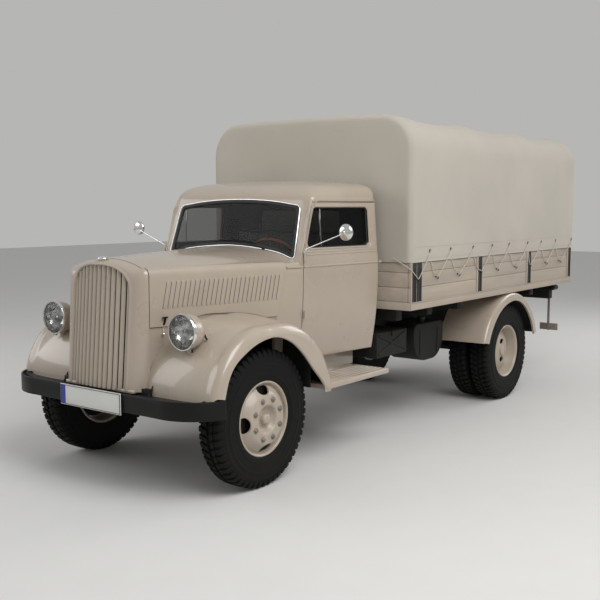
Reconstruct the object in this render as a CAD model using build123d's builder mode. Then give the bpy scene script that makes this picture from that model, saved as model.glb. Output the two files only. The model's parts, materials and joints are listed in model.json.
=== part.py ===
from build123d import *
import os
from math import cos, sin, radians

# Three-ton cargo truck with a steel cab, a bed with wooden boards and a canvas tilt.
# Millimetres, +X to the truck's left, +Y to its rear, +Z up.
# The origin is on the ground, under the middle of the truck's length.
# Places along the truck are counted from the front axle, to the rear.

# Overall
wheelbase = 3600
front_overhang = 715
bed_front = 1630
bed_length = 3465
bed_half_width = 1027
canvas_lap = 10
gate_hinge_out = 12
gate_eye = 11
overall_length = front_overhang + bed_front + bed_length + gate_hinge_out + gate_eye
front_axle_y = front_overhang - overall_length / 2
bed_rear = bed_front + bed_length
sheet = 6
panel_gap = 6
seat_gap = 0.3

# Wheels
tyre_radius = 465
tyre_width = 190
rim_radius = 254
rim_wall = 18
front_tyre_x = 795
outer_tyre_x = 882
twin_pitch = 220
inner_tyre_x = outer_tyre_x - twin_pitch
axle_z = tyre_radius
spindle_radius = 25
rear_tube_radius = 45
running_clearance = 0.06
hand_hole_count = 4
hand_hole_circle = 172

# Steering
kingpin_x = 680
kingpin_radius = 14
eye_radius = 32
eye_height = 80
steering_arm = 180
tie_rod_z = 365
tie_rod_radius = 14
column_x = 300
column_rake = 45
steering_wheel_y = 897
steering_wheel_z = 1472
steering_wheel_radius = 205
steering_rim_radius = 13

# Frame
rail_outer_x = 425
rail_flange = 60
rail_bottom = 604
rail_top = 744
rail_web = 8
rail_rear = 4990
cross_bottom = 624
cross_top = 700
cross_stations = (-560, 1150, 1700, 2600, wheelbase, 4300, 4940)
cross_width = 80
tow_half = 45
tow_reach = 100
tow_pin_radius = 17.5
spring_half_width = 30
spring_x = rail_outer_x - spring_half_width

# Cab: half widths at the hood's rear edge, the door's front edge and the cab's rear
hood_rear = 519
cowl_front = 525
door_front = 672
door_rear = 1510
cab_rear = 1550
cab_floor = rail_top
floor_thickness = 31
belt_z = 1422
roof_edge_z = 1926
cab_wall = 30
door_thickness = 40
# height, half width at the cowl's front, at the door's front edge, at the cab's rear
body_levels = (
    (cab_floor, 594, 642, 750),
    (1041, 636, 684, 792),
    (belt_z, 650, 698, 806),
)
# height, windscreen foot, half width of the screen, pillar, half width, rear half width
upper_levels = (
    (belt_z, 634, 640, 672, 698, 806),
    (1530, 666, 634, 674, 694, 797),
    (roof_edge_z, 785, 610, 798, 672, 765),
)
# rise above the roof's edge, inset
roof_levels = ((0, 0), (49, 12), (92, 62), (120, 150), (134, 300))
screen_foot_y = 650
screen_foot_z = 1475
screen_lean = 16.7
screen_thickness = 6
window_sill = 1560
window_head = 1850
window_rear = 1405
window_corner = 36
window_front_low = 709
window_front_high = 805
door_head = 1890
door_lean_start = 1530
door_lean_top = 790
door_hinge_x = 708
door_hinge_y = door_front
door_pin = 4
door_eye = 8
# low and high end of each door hinge
door_hinges = ((1050, 1110), (1465, 1525))

# Hood and radiator
hood_front = -534
shell_back = -540
hood_front_half = 366
hood_rear_half = 648
hood_sheet = 8
hood_bottom = 1090
hood_front_crown = 1515
hood_rear_crown = 1555
hood_front_shoulder = 1461
hood_rear_shoulder = 1463
hood_corner = 46
hinge_rod = 5
hinge_eye = 8
hood_split = 12
hood_hinge_length = 60
# distances along the centre rod of each lid's hinge eyes
left_eyes = (90, 530, 930)
right_eyes = (160, 600, 860)
shell_bottom = cross_top
grille_half = 268
grille_bar_count = 12
grille_bar_radius = 15
grille_arch = 1482
grille_spring = 1395
grille_sill = 716

# Front fenders
fender_outer = 955
fender_inner = rail_outer_x
fender_front = -578
fender_crown = 1140
fender_rear = 716
fender_front_bottom = 690
fender_ledge = 966
arch_top = 1013
fender_levels = ((330, 0, 0), (860, 34, 8), (925, 62, 26), (fender_outer, 118, 62))

# Running boards
board_top = 605
board_thickness = 35
board_outer = 960
board_front = 600
board_rear = 1432
apron_x = 585

# Bed
rim_bottom = 1040
floor_top = 1103
floor_board = 38
rim_width = 60
deck_rise = 2
deck_gap = 2
board_height = 316
board_thick = 25
board_top_z = floor_top + board_height
sill_bottom = 940
sill_half = 860
short_sill_half = 530
sill_width = 90
# station behind the front axle, long or short
sills = ((1740, True), (2250, True), (2800, True), (3330, False), (3880, False), (4420, True), (4955, True))
rear_sill_drop = 80
gate_gap = 6
gate_head_gap = 10
gate_hinge_z = 1088
gate_hinges = (-760, 0, 760)

# Rear fenders
rear_fender_inner = 560
rear_fender_outer = 1026
rear_fender_front = 2976
rear_fender_top = 1036
rear_fender_back = 4180
rear_fender_bottom = 600
rear_arch_radius = 492

# Canvas tilt
canvas_thickness = 6
canvas_top = 2597
canvas_shoulder = 290
canvas_crown = 14
bow_radius = 17
bow_stations = (1760, 2840, 3920, 5000)


def place(x, behind, z):
    """A point from its side offset, its distance behind the front axle and its height."""
    return (x, front_axle_y + behind, z)


def side_plane(x):
    """A lengthwise plane whose sketch runs from the front axle to the rear, and up."""
    return Plane(origin=place(x, 0, 0), x_dir=(0, 1, 0), z_dir=(1, 0, 0))


def cross_plane(behind):
    """A plane across the truck whose sketch is seen from the front, facing forwards."""
    return Plane(origin=place(0, behind, 0), x_dir=(1, 0, 0), z_dir=(0, -1, 0))


def level_plane(z):
    """A level plane whose sketch runs to the left and to the rear of the front axle."""
    return Plane(origin=place(0, 0, z), x_dir=(1, 0, 0), z_dir=(0, 0, 1))


def block(x, behind, z, mode=Mode.ADD):
    """A box from its low and high side, place and height."""
    middle = place(sum(x) / 2, sum(behind) / 2, sum(z) / 2)
    with Locations(middle):
        Box(x[1] - x[0], behind[1] - behind[0], z[1] - z[0], mode=mode)


def outline(plane, points, corner=0):
    """A face with straight sides, and with rounded corners where a radius is given."""
    with BuildSketch(plane) as drawn:
        with BuildLine():
            Polyline(*points, close=True)
        make_face()
        if corner:
            fillet(drawn.vertices(), radius=corner)
    return drawn.sketch


def both_sides(points):
    """The left-hand half of an outline, with its mirror image on the right."""
    return [(-x, y) for x, y in reversed(points)] + list(points)


def write(piece, name):
    """Gives a finished piece its name and its file."""
    piece.label = name
    export_step(piece, f"parts/{name}.step")


def write_pair(left, name):
    """Writes a left-hand piece and its mirror image on the right."""
    write(left, f"{name}_left")
    write(mirror(left, about=Plane.YZ), f"{name}_right")


os.makedirs("parts", exist_ok=True)

# Frame: two channel rails joined by cross members, with the bracket for a tow pin on the last one
bumper_thickness = 12
with BuildPart() as frame_rails:
    inner_x = rail_outer_x - rail_flange
    web_x = rail_outer_x - rail_web
    with BuildSketch(cross_plane(rail_rear)):
        with BuildLine():
            Polyline(
                (rail_outer_x, rail_bottom),
                (rail_outer_x, rail_top),
                (inner_x, rail_top),
                (inner_x, rail_top - rail_web),
                (web_x, rail_top - rail_web),
                (web_x, rail_bottom + rail_web),
                (inner_x, rail_bottom + rail_web),
                (inner_x, rail_bottom),
                close=True,
            )
        make_face()
    extrude(amount=rail_rear + front_overhang - bumper_thickness)
    mirror(about=Plane.YZ)
write(frame_rails.part, "frame_rails")
with BuildPart() as cross_members:
    for station in cross_stations:
        cross_ends = (station - cross_width / 2, station + cross_width / 2)
        block((-web_x, web_x), cross_ends, (cross_bottom, cross_top))
    last_cross_rear = cross_stations[-1] + cross_width / 2
    tow_y = last_cross_rear + tow_reach - tow_half
    tow_z = (cross_bottom + cross_top) / 2
    block((-tow_half, tow_half), (last_cross_rear, last_cross_rear + tow_reach), (cross_bottom, cross_top))
    with Locations(place(0, tow_y, tow_z)):
        Cylinder(tow_pin_radius, cross_top - cross_bottom, mode=Mode.SUBTRACT)
write(cross_members.part, "cross_members")

# Front bumper: a bar with swept-back ends
bumper_bottom = 560
bumper_top = 680
bumper_straight = 600
bumper_end_x = 958
bumper_end = -462
bumper_bend = (858, -632)
bumper_inner_bend = (bumper_bend[0] - 9, bumper_bend[1] + 9)
with BuildPart() as front_bumper:
    with BuildSketch(level_plane(bumper_bottom)):
        with BuildLine():
            Line((-bumper_straight, -front_overhang), (bumper_straight, -front_overhang))
            ThreePointArc((bumper_straight, -front_overhang), bumper_bend, (bumper_end_x, bumper_end))
            Line((bumper_end_x, bumper_end), (bumper_end_x - bumper_thickness, bumper_end))
            ThreePointArc(
                (bumper_end_x - bumper_thickness, bumper_end),
                bumper_inner_bend,
                (bumper_straight, -front_overhang + bumper_thickness),
            )
            Line(
                (bumper_straight, -front_overhang + bumper_thickness),
                (-bumper_straight, -front_overhang + bumper_thickness),
            )
            ThreePointArc(
                (-bumper_straight, -front_overhang + bumper_thickness),
                (-bumper_inner_bend[0], bumper_inner_bend[1]),
                (-bumper_end_x + bumper_thickness, bumper_end),
            )
            Line((-bumper_end_x + bumper_thickness, bumper_end), (-bumper_end_x, bumper_end))
            ThreePointArc(
                (-bumper_end_x, bumper_end),
                (-bumper_bend[0], bumper_bend[1]),
                (-bumper_straight, -front_overhang),
            )
        make_face()
    extrude(amount=bumper_top - bumper_bottom)
write(front_bumper.part, "front_bumper")

# Radiator shell with its upright grille bars and the hood's centre rod


def arch_face(plane, half, shoulder, crown, bottom, corner):
    """An upright opening with rounded shoulders and an arched head."""
    with BuildSketch(plane) as drawn:
        with BuildLine():
            Polyline((-half + corner, shoulder), (-half, shoulder - corner), (-half, bottom))
            Polyline((-half, bottom), (half, bottom), (half, shoulder - corner), (half - corner, shoulder))
            ThreePointArc((half - corner, shoulder), (0, crown), (-half + corner, shoulder))
        make_face()
    return drawn.sketch


shell_wall = 26
shell_depth = 300
shell_hollow_depth = 62
shell_bulge = 50
shell_outline = arch_face(
    cross_plane(shell_back),
    hood_front_half,
    hood_front_shoulder,
    hood_front_crown,
    shell_bottom,
    hood_corner,
)
shell_hollow = arch_face(
    cross_plane(shell_back + 2),
    hood_front_half - shell_wall,
    hood_front_shoulder - shell_wall,
    hood_front_crown - shell_wall,
    shell_bottom + 16,
    hood_corner - 12,
)
grille_corner = 60
grille_hole = arch_face(
    cross_plane(shell_back + 2),
    grille_half,
    grille_spring + grille_corner,
    grille_arch,
    grille_sill,
    grille_corner,
)
# height, half width at the back, side corner, front, half width at the front
shell_levels = ((shell_bottom, 352, -556, -690, 300), (1560, 372, -548, -622, 300))
shell_lean = (shell_levels[1][3] - shell_levels[0][3]) / (shell_levels[1][0] - shell_levels[0][0])
with BuildPart() as shell_block:
    for z, back_half, side_y, front_y, front_half in shell_levels:
        with BuildSketch(level_plane(z)):
            with BuildLine():
                Polyline(
                    (-front_half, front_y + shell_bulge),
                    (-back_half, side_y),
                    (-back_half, shell_back),
                    (back_half, shell_back),
                    (back_half, side_y),
                    (front_half, front_y + shell_bulge),
                )
                corner_y = front_y + shell_bulge
                ThreePointArc((front_half, corner_y), (0, front_y), (-front_half, corner_y))
            make_face()
    loft(ruled=True)
with BuildPart() as grille_bars:
    bar_pitch = 2 * grille_half / grille_bar_count
    for number in range(grille_bar_count):
        bar_x = (number + 0.5) * bar_pitch - grille_half
        bar_back = shell_bulge * (bar_x / 300) ** 2 + grille_bar_radius + 3
        foot = place(bar_x, shell_levels[0][3] + bar_back, shell_bottom)
        with BuildSketch(Plane(origin=foot, x_dir=(1, 0, 0), z_dir=(0, shell_lean, 1))):
            Circle(grille_bar_radius)
        extrude(amount=820)
    extrude(grille_hole, amount=shell_depth, mode=Mode.INTERSECT)
rod_start_point = Vector(*place(0, shell_back - 10, hood_front_crown + 1))
rod_span = Vector(*place(0, cowl_front - 1, hood_rear_crown + 1)) - rod_start_point
rod_length = rod_span.length
rod_direction = rod_span.normalized()
with BuildPart() as radiator_shell:
    add(shell_block.part)
    extrude(shell_outline, amount=shell_depth, mode=Mode.INTERSECT)
    extrude(shell_hollow, amount=shell_hollow_depth, mode=Mode.SUBTRACT)
    extrude(grille_hole, amount=shell_depth, mode=Mode.SUBTRACT)
    add(grille_bars.part)
    with BuildSketch(Plane(origin=rod_start_point, z_dir=rod_direction)):
        Circle(hinge_rod)
    extrude(amount=rod_length)
write(radiator_shell.part, "radiator_shell")

# Radiator core behind the grille, and the engine with its gearbox as one plain block
with BuildPart() as radiator_core:
    block((-250, 250), (-534, -490), (cross_top, 1400))
write(radiator_core.part, "radiator_core")
engine_bottom = 520
gearbox_end = 1010
with BuildPart() as engine_block:
    block((-240, 240), (-430, 505), (engine_bottom, 1300))
    block((-150, 150), (505, gearbox_end), (engine_bottom, cross_top - 10))
write(engine_block.part, "engine_block")

# Front fenders: hollow shells with a rounded shoulder and a wheel arch


def fender_solid(shrink):
    """The fender's full shape, smaller by the given amount all round."""
    faces = []
    for x, drop, inset in fender_levels:
        front = fender_front + inset + shrink
        rear = fender_rear - inset - shrink
        crown = fender_crown - drop - shrink
        with BuildSketch(side_plane(min(x, fender_outer - shrink))) as drawn:
            with BuildLine():
                Line((rear, 590), (rear, 540))
                Line((rear, 540), (front, 540))
                Line((front, 540), (front, 620))
                ThreePointArc(
                    (front, 620),
                    (-430 + 0.73 * (inset + shrink), 975 - 0.68 * (drop + shrink)),
                    (10, crown),
                )
                ThreePointArc(
                    (10, crown),
                    (440 - 0.55 * (inset + shrink), 1030 - 0.83 * (drop + shrink)),
                    (rear, 590),
                )
            make_face()
        faces.append(drawn.sketch)
    return loft(faces, ruled=True)


def beside_hood(offset, low, high):
    """The space outboard of the hood's side, between two heights."""
    slope = (hood_rear_half - hood_front_half) / (hood_rear - hood_front)
    near = hood_front_half + slope * (-750 - hood_front) + offset
    far = hood_front_half + slope * (950 - hood_front) + offset
    region = outline(level_plane(low), [(near, -750), (far, 950), (1100, 950), (1100, -750)])
    return extrude(region, amount=high - low)


def beside_rail(offset, high):
    """The space outboard of the frame rail and ahead of the cab, up to a height."""
    low_x = fender_inner + offset
    back = cowl_front - 10 - offset
    region = outline(level_plane(500), [(low_x, -750), (low_x, back), (1100, back), (1100, -750)])
    return extrude(region, amount=high - 500)


with BuildSketch(side_plane(905)) as arch_sketch:
    with BuildLine():
        Polyline((341, 859), (610, 575), (610, 500), (-505, 500), (-505, 640))
        ThreePointArc((-505, 640), (-20, arch_top), (341, 859))
    make_face()
arch_cut = extrude(arch_sketch.sketch, amount=80)
fender_full = fender_solid(0)
fender_inside = fender_solid(sheet)
fender_clear = fender_solid(-hood_sheet)
outer_space = beside_hood(0, rail_top + 2, 1250) + beside_rail(0, fender_ledge)
inner_space = beside_hood(sheet, rail_top + 2 + sheet, 1250) + beside_rail(sheet, fender_ledge - sheet)
hood_wall = beside_hood(0, rail_top + 2, hood_bottom - hood_sheet) - beside_hood(sheet, 700, hood_bottom)
with BuildPart() as hood_apron:
    add(hood_wall)
    block((0, 1000), (-526, -300), (rail_top + 2, hood_bottom), mode=Mode.INTERSECT)
with BuildPart() as front_fender:
    add(fender_full)
    add(outer_space, mode=Mode.INTERSECT)
    add(fender_inside & inner_space, mode=Mode.SUBTRACT)
    add(arch_cut, mode=Mode.SUBTRACT)
    block((300, 1100), (-750, 0), (400, fender_front_bottom), mode=Mode.SUBTRACT)
    block((300, 1100), (0, 950), (400, board_top), mode=Mode.SUBTRACT)
    add(hood_apron.part)
write_pair(front_fender.part, "front_fender")

# Hood: two louvred lids, each with its side panel, lifting about the centre rod


def hood_section(behind, half, crown, shoulder):
    """One lid's sheet where the hood is cut across."""
    edge = half - hood_corner
    middle = crown - 0.27 * (crown - shoulder)
    bend = 0.29 * hood_corner
    start = hood_split
    with BuildSketch(cross_plane(behind)) as drawn:
        with BuildLine():
            ThreePointArc((start, crown), (edge / 2, middle), (edge, shoulder))
            ThreePointArc((edge, shoulder), (half - bend, shoulder - bend), (half, shoulder - hood_corner))
            Polyline(
                (half, shoulder - hood_corner),
                (half, hood_bottom),
                (half - hood_sheet, hood_bottom),
                (half - hood_sheet, shoulder - hood_corner),
            )
            ThreePointArc(
                (half - hood_sheet, shoulder - hood_corner),
                (half - bend - 0.7 * hood_sheet, shoulder - bend - 0.7 * hood_sheet),
                (edge, shoulder - hood_sheet),
            )
            ThreePointArc(
                (edge, shoulder - hood_sheet), (edge / 2, middle - hood_sheet), (start, crown - hood_sheet)
            )
            Line((start, crown - hood_sheet), (start, crown))
        make_face()
    return drawn.sketch


hood_faces = [
    hood_section(hood_front, hood_front_half, hood_front_crown, hood_front_shoulder),
    hood_section(hood_rear, hood_rear_half, hood_rear_crown, hood_rear_shoulder),
]
with BuildPart() as hood:
    loft(hood_faces, ruled=True)
    add(fender_clear, mode=Mode.SUBTRACT)


def hood_eyes(distances):
    """Hinge eyes round the centre rod, with leaves that reach the left lid's edge."""
    with BuildPart() as eyes:
        for distance in distances:
            eye_start = rod_start_point + rod_direction * distance
            with BuildSketch(Plane(origin=eye_start, x_dir=(1, 0, 0), z_dir=rod_direction)):
                Circle(hinge_eye)
                with Locations((hood_split / 2 + 4, hinge_eye - 3)):
                    Rectangle(hood_split, 6)
                Circle(hinge_rod + seat_gap, mode=Mode.SUBTRACT)
            extrude(amount=hood_hinge_length)
    return eyes.part


left_hinge = hood_eyes(left_eyes)
right_hinge = hood_eyes(right_eyes)
with BuildPart() as hood_left:
    add(hood.part)
    add(left_hinge)
write(hood_left.part, "hood_left")
with BuildPart() as hood_right:
    add(mirror(hood.part, about=Plane.YZ))
    add(mirror(right_hinge, about=Plane.YZ))
write(hood_right.part, "hood_right")

# Cab


def level_outline(z, corners):
    """A level face from one side's corners, mirrored to the other side."""
    return outline(level_plane(z), both_sides(corners))


def cab_hull(inset, end_inset):
    """The cab from its floor to the roof's edge, narrower on each side and shorter at each end."""
    lower = []
    for z, front_half, door_half, rear_half in body_levels:
        corners = [
            (front_half - inset, cowl_front + end_inset),
            (door_half - inset, door_front),
            (rear_half - inset, cab_rear - end_inset),
        ]
        lower.append(level_outline(z, corners))
    upper = []
    for z, foot, screen_half, pillar, pillar_half, rear_half in upper_levels:
        corners = [
            (screen_half - inset, foot + end_inset),
            (pillar_half - inset, pillar),
            (rear_half - inset, cab_rear - end_inset),
        ]
        upper.append(level_outline(z, corners))
    return loft(lower, ruled=True) + loft(upper, ruled=True)


def screen_outline(grow):
    """The windscreen, crowned at its foot and at its head."""
    plane = Plane(
        origin=place(0, screen_foot_y, screen_foot_z),
        x_dir=(1, 0, 0),
        z_dir=(0, -cos(radians(screen_lean)), sin(radians(screen_lean))),
    )
    with BuildSketch(plane) as drawn:
        with BuildLine():
            ThreePointArc((-606 - grow, 24 - grow), (0, 106 - grow), (606 + grow, 24 - grow))
            Line((606 + grow, 24 - grow), (574 + grow, 402 + grow))
            ThreePointArc((574 + grow, 402 + grow), (0, 452 + grow), (-574 - grow, 402 + grow))
            Line((-574 - grow, 402 + grow), (-606 - grow, 24 - grow))
        make_face()
        fillet(drawn.vertices(), radius=30)
    return drawn.sketch


def door_outline(grow):
    """The door seen from its side."""
    return [
        (door_front - grow, cab_floor - grow),
        (door_rear + grow, cab_floor - grow),
        (door_rear + grow, door_head + grow),
        (door_lean_top - grow, door_head + grow),
        (door_front - grow, door_lean_start + grow / 3),
    ]


def window_outline(grow):
    """The door's window seen from its side."""
    return [
        (window_front_low - grow, window_sill - grow),
        (window_rear + grow, window_sill - grow),
        (window_rear + grow, window_head + grow),
        (window_front_high - grow, window_head + grow),
    ]


dash_half = 590
dash_rear = 720
dash_low = 1340
seat_half = 600
seat_box_half = seat_half - 20
seat_front = 1030
seat_top = 1190
backrest_top = 1660
cushion_thickness = 150
seat_box_z = (cab_floor + floor_thickness, seat_top - cushion_thickness - seat_gap)
side_reach = -80
cab_outer = cab_hull(0, 0)
cab_inner = cab_hull(cab_wall, cab_wall)
door_depth = cab_hull(door_thickness, side_reach)
door_seat_depth = cab_hull(door_thickness + panel_gap, side_reach)
screen_hole = extrude(screen_outline(0), amount=60, both=True)
door_hole = extrude(outline(side_plane(400), door_outline(panel_gap / 2)), amount=500)
with BuildPart() as cowl_top:
    for behind, half, edge_z, crown in ((cowl_front, 647, 1462, 1555), (door_front - 8, 684, 1477, 1571)):
        with BuildSketch(cross_plane(behind)):
            with BuildLine():
                Polyline((half - 18, edge_z), (half, edge_z - 22), (half, belt_z - 30))
                Line((half, belt_z - 30), (-half, belt_z - 30))
                Polyline((-half, belt_z - 30), (-half, edge_z - 22), (-half + 18, edge_z))
                ThreePointArc((-half + 18, edge_z), (0, crown), (half - 18, edge_z))
            make_face()
    loft(ruled=True)
door_holes = door_hole + mirror(door_hole, about=Plane.YZ) - door_seat_depth
rear_light_half = 420
rear_light_low = 1590
rear_light_high = 1830
with BuildPart() as cab_hollow:
    add(cab_inner)
    block((-900, 900), (400, 1700), (cab_floor, cab_floor + floor_thickness), mode=Mode.SUBTRACT)


def hinge_leaf(levels, behind, bore):
    """Hinge eyes on one side of the pin, with the leaves that carry them."""
    with BuildPart() as leaf:
        for low, high in levels:
            block((door_hinge_x - 28, door_hinge_x), behind, (low, high))
            with Locations(place(door_hinge_x, door_hinge_y, (low + high) / 2)):
                Cylinder(door_eye, high - low)
                Cylinder(bore, high - low, mode=Mode.SUBTRACT)
    return leaf.part


cab_eye_levels = [ends for low, high in door_hinges for ends in ((low, low + 18), (high - 18, high))]
door_eye_levels = [(low + 19, high - 19) for low, high in door_hinges]
cab_leaves = hinge_leaf(cab_eye_levels, (door_hinge_y - 10, door_hinge_y - 2), door_pin - 1)
door_leaves = hinge_leaf(door_eye_levels, (door_hinge_y + 2, door_hinge_y + 10), door_pin + seat_gap)
with BuildPart() as hinge_pins:
    for low, high in door_hinges:
        with Locations(place(door_hinge_x, door_hinge_y, (low + high) / 2)):
            Cylinder(door_pin, high - low)
left_hinge_half = cab_leaves + hinge_pins.part
right_hinge_half = mirror(left_hinge_half, about=Plane.YZ)
with BuildPart() as cab_body:
    add(cab_outer)
    add(cab_hollow.part, mode=Mode.SUBTRACT)
    add(screen_hole, mode=Mode.SUBTRACT)
    add(door_holes, mode=Mode.SUBTRACT)
    block(
        (-rear_light_half, rear_light_half),
        (cab_rear - 60, cab_rear + 20),
        (rear_light_low, rear_light_high),
        mode=Mode.SUBTRACT,
    )
    add(cowl_top.part)
    block((-dash_half, dash_half), (cowl_front + cab_wall, dash_rear), (dash_low, belt_z - 30))
    block((-seat_box_half, seat_box_half), (seat_front + 20, seat_front + 40), seat_box_z)
    for side in (-1, 1):
        edges = sorted((side * seat_box_half, side * (seat_box_half - 20)))
        block(edges, (seat_front + 40, cab_rear - cab_wall), seat_box_z)
    add(left_hinge_half)
    add(right_hinge_half)
write(cab_body.part, "cab_body")

# Doors, each with its window cut and its glass
door_blank = extrude(outline(side_plane(400), door_outline(0)), amount=500)
window_hole = extrude(outline(side_plane(400), window_outline(0), window_corner), amount=500)
glass_depth = 14
glass_depth_out = cab_hull(glass_depth, 0)
glass_depth_in = cab_hull(glass_depth + screen_thickness, side_reach)
with BuildPart() as door:
    add(cab_outer - door_depth)
    add(door_blank, mode=Mode.INTERSECT)
    add(window_hole, mode=Mode.SUBTRACT)
    add(door_leaves)
write_pair(door.part, "door")
glass_face = outline(side_plane(400), window_outline(-seat_gap), window_corner - seat_gap)
glass_blank = extrude(glass_face, amount=500)
with BuildPart() as door_glass:
    add(glass_depth_out - glass_depth_in)
    add(glass_blank, mode=Mode.INTERSECT)
write_pair(door_glass.part, "door_glass")

# Windscreen and rear window
with BuildPart() as cab_windows:
    extrude(screen_outline(-seat_gap), amount=-screen_thickness)
    block(
        (-rear_light_half + seat_gap, rear_light_half - seat_gap),
        (cab_rear - 18, cab_rear - 12),
        (rear_light_low + seat_gap, rear_light_high - seat_gap),
    )
write(cab_windows.part, "cab_windows")

# Roof: a domed shell on the cab's top edge


def roof_dome(inset, lowering):
    """The roof's dome, smaller by the given amount all round."""
    faces = []
    z, foot, screen_half, pillar, pillar_half, rear_half = upper_levels[-1]
    for rise, level_inset in roof_levels:
        total = inset + level_inset
        rear_inset = inset + 0.45 * level_inset
        corners = [
            (screen_half - total, foot + total),
            (pillar_half - total, pillar + 0.4 * total),
            (rear_half - total, cab_rear - rear_inset),
        ]
        faces.append(level_outline(z + rise * (1 - lowering / 134), corners))
    return loft(faces, ruled=True)


roof_full = roof_dome(0, 0)
roof_hollow = roof_dome(cab_wall, 20)
with BuildPart() as cab_roof:
    add(roof_full)
    add(roof_hollow, mode=Mode.SUBTRACT)
write(cab_roof.part, "cab_roof")

# Steering wheel and its column
rake = radians(column_rake)
column_axis = (0, sin(rake), cos(rake))
wheel_centre = place(column_x, steering_wheel_y, steering_wheel_z)
wheel_plane = Plane(origin=wheel_centre, x_dir=(1, 0, 0), z_dir=column_axis)
wheel_hub_depth = 24
with BuildPart() as steering_wheel:
    with BuildSketch(Plane(origin=wheel_centre, x_dir=(1, 0, 0), z_dir=(0, -cos(rake), sin(rake)))):
        with Locations((steering_wheel_radius, 0)):
            Circle(steering_rim_radius)
    revolve(axis=Axis(wheel_centre, column_axis))
    with BuildSketch(wheel_plane.offset(-wheel_hub_depth)):
        Circle(32)
    extrude(amount=2 * wheel_hub_depth)
    for spoke in range(3):
        with BuildSketch(wheel_plane.offset(-5)):
            with Locations(Rot(0, 0, 90 + 120 * spoke) * Pos(steering_wheel_radius / 2, 0)):
                Rectangle(steering_wheel_radius, 22)
        extrude(amount=10)
write(steering_wheel.part, "steering_wheel")
column_radius = 18
with BuildPart() as steering_column:
    with BuildSketch(wheel_plane.offset(-wheel_hub_depth - seat_gap)):
        Circle(column_radius)
    extrude(amount=-700)
    block((0, 600), (0, cowl_front + cab_wall), (400, 1500), mode=Mode.SUBTRACT)
write(steering_column.part, "steering_column")

# Bench seat: a cushion and a backrest on the cab's seat box
backrest_front = 1425
with BuildPart() as seat_cushion:
    cushion_ends = (seat_front, backrest_front + 60)
    block((-seat_half, seat_half), cushion_ends, (seat_top - cushion_thickness, seat_top))
    fillet(seat_cushion.edges().filter_by(Axis.X), radius=30)
write(seat_cushion.part, "seat_cushion")
with BuildPart() as seat_backrest:
    backrest_ends = (backrest_front, cab_rear - cab_wall - seat_gap)
    block((-seat_half, seat_half), backrest_ends, (seat_top + seat_gap, backrest_top))
    fillet(seat_backrest.edges().filter_by(Axis.X), radius=25)
write(seat_backrest.part, "seat_backrest")

# Mirrors on arms from the doors' upper hinge pins
mirror_head = place(1043, 687, 1680)
socket_low = door_hinges[-1][1] + seat_gap
socket_height = 14
arm_root = place(door_hinge_x, door_hinge_y, socket_low + socket_height / 2)
arm_radius = 6
mirror_radius = 58
with BuildPart() as mirror_arm:
    arm_axis = Vector(*mirror_head) - Vector(*arm_root)
    with BuildSketch(Plane(origin=arm_root, z_dir=arm_axis)):
        Circle(arm_radius)
    extrude(amount=arm_axis.length)
    with BuildSketch(Plane(origin=mirror_head, x_dir=(1, 0, 0), z_dir=(0, 1, 0))):
        Circle(mirror_radius)
    extrude(amount=24)
    with Locations(arm_root):
        Cylinder(door_eye, socket_height)
with BuildPart() as mirrors:
    add(mirror_arm.part)
    mirror(about=Plane.YZ)
write(mirrors.part, "mirrors")

# Headlamps on short stems from the front fenders
lamp_x = 631
lamp_face = -508
lamp_z = 1077
lamp_radius = 120
lamp_depth = 155
with BuildPart() as lamp:
    with BuildSketch(side_plane(lamp_x)):
        with BuildLine():
            Line((lamp_face, lamp_z), (lamp_face, lamp_z + lamp_radius))
            Line((lamp_face, lamp_z + lamp_radius), (lamp_face + 24, lamp_z + lamp_radius))
            ThreePointArc(
                (lamp_face + 24, lamp_z + lamp_radius),
                (lamp_face + 0.7 * lamp_depth, lamp_z + 0.56 * lamp_radius),
                (lamp_face + lamp_depth, lamp_z),
            )
            Line((lamp_face + lamp_depth, lamp_z), (lamp_face, lamp_z))
        make_face()
    revolve(axis=Axis(place(lamp_x, 0, lamp_z), (0, 1, 0)))
with BuildPart() as lamp_stem:
    with Locations(place(lamp_x, lamp_face + 60, lamp_z - lamp_radius)):
        Cylinder(22, 200, align=(Align.CENTER, Align.CENTER, Align.CENTER))
    block((0, 1000), (-700, 0), (lamp_z - 40, 1400), mode=Mode.SUBTRACT)
with BuildPart() as headlamps:
    add(lamp_stem.part - fender_full)
    add(lamp.part)
    mirror(about=Plane.YZ)
write(headlamps.part, "headlamps")

# Front axle: a forged beam, dropped between the springs, with an eye for each kingpin
beam_half = 42
beam_low = 395
beam_high = 455
spring_seat_top = 478
with BuildPart() as front_axle:
    with BuildSketch(cross_plane(beam_half)):
        with BuildLine():
            Polyline(
                *both_sides(
                    [
                        (470, beam_low),
                        (600, axle_z - 35),
                        (kingpin_x, axle_z - 35),
                        (kingpin_x, axle_z + 35),
                        (585, axle_z + 35),
                        (450, beam_high),
                    ]
                ),
                close=True,
            )
        make_face()
    extrude(amount=2 * beam_half)
    with BuildSketch(cross_plane(beam_half)):
        for side in (-1, 1):
            with Locations((side * spring_x, (beam_high + spring_seat_top) / 2)):
                Rectangle(2 * spring_half_width + 10, spring_seat_top - beam_high)
    extrude(amount=2 * beam_half)
    for side in (-1, 1):
        eye_sides = (side * kingpin_x - 60, side * kingpin_x + 60)
        block(eye_sides, (-90, -eye_radius), (300, 600), mode=Mode.SUBTRACT)
        block(eye_sides, (eye_radius, 90), (300, 600), mode=Mode.SUBTRACT)
    with Locations(place(kingpin_x, 0, axle_z), place(-kingpin_x, 0, axle_z)):
        Cylinder(eye_radius, eye_height)
        Cylinder(kingpin_radius + running_clearance, eye_height + 20, mode=Mode.SUBTRACT)
write(front_axle.part, "front_axle")

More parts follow.
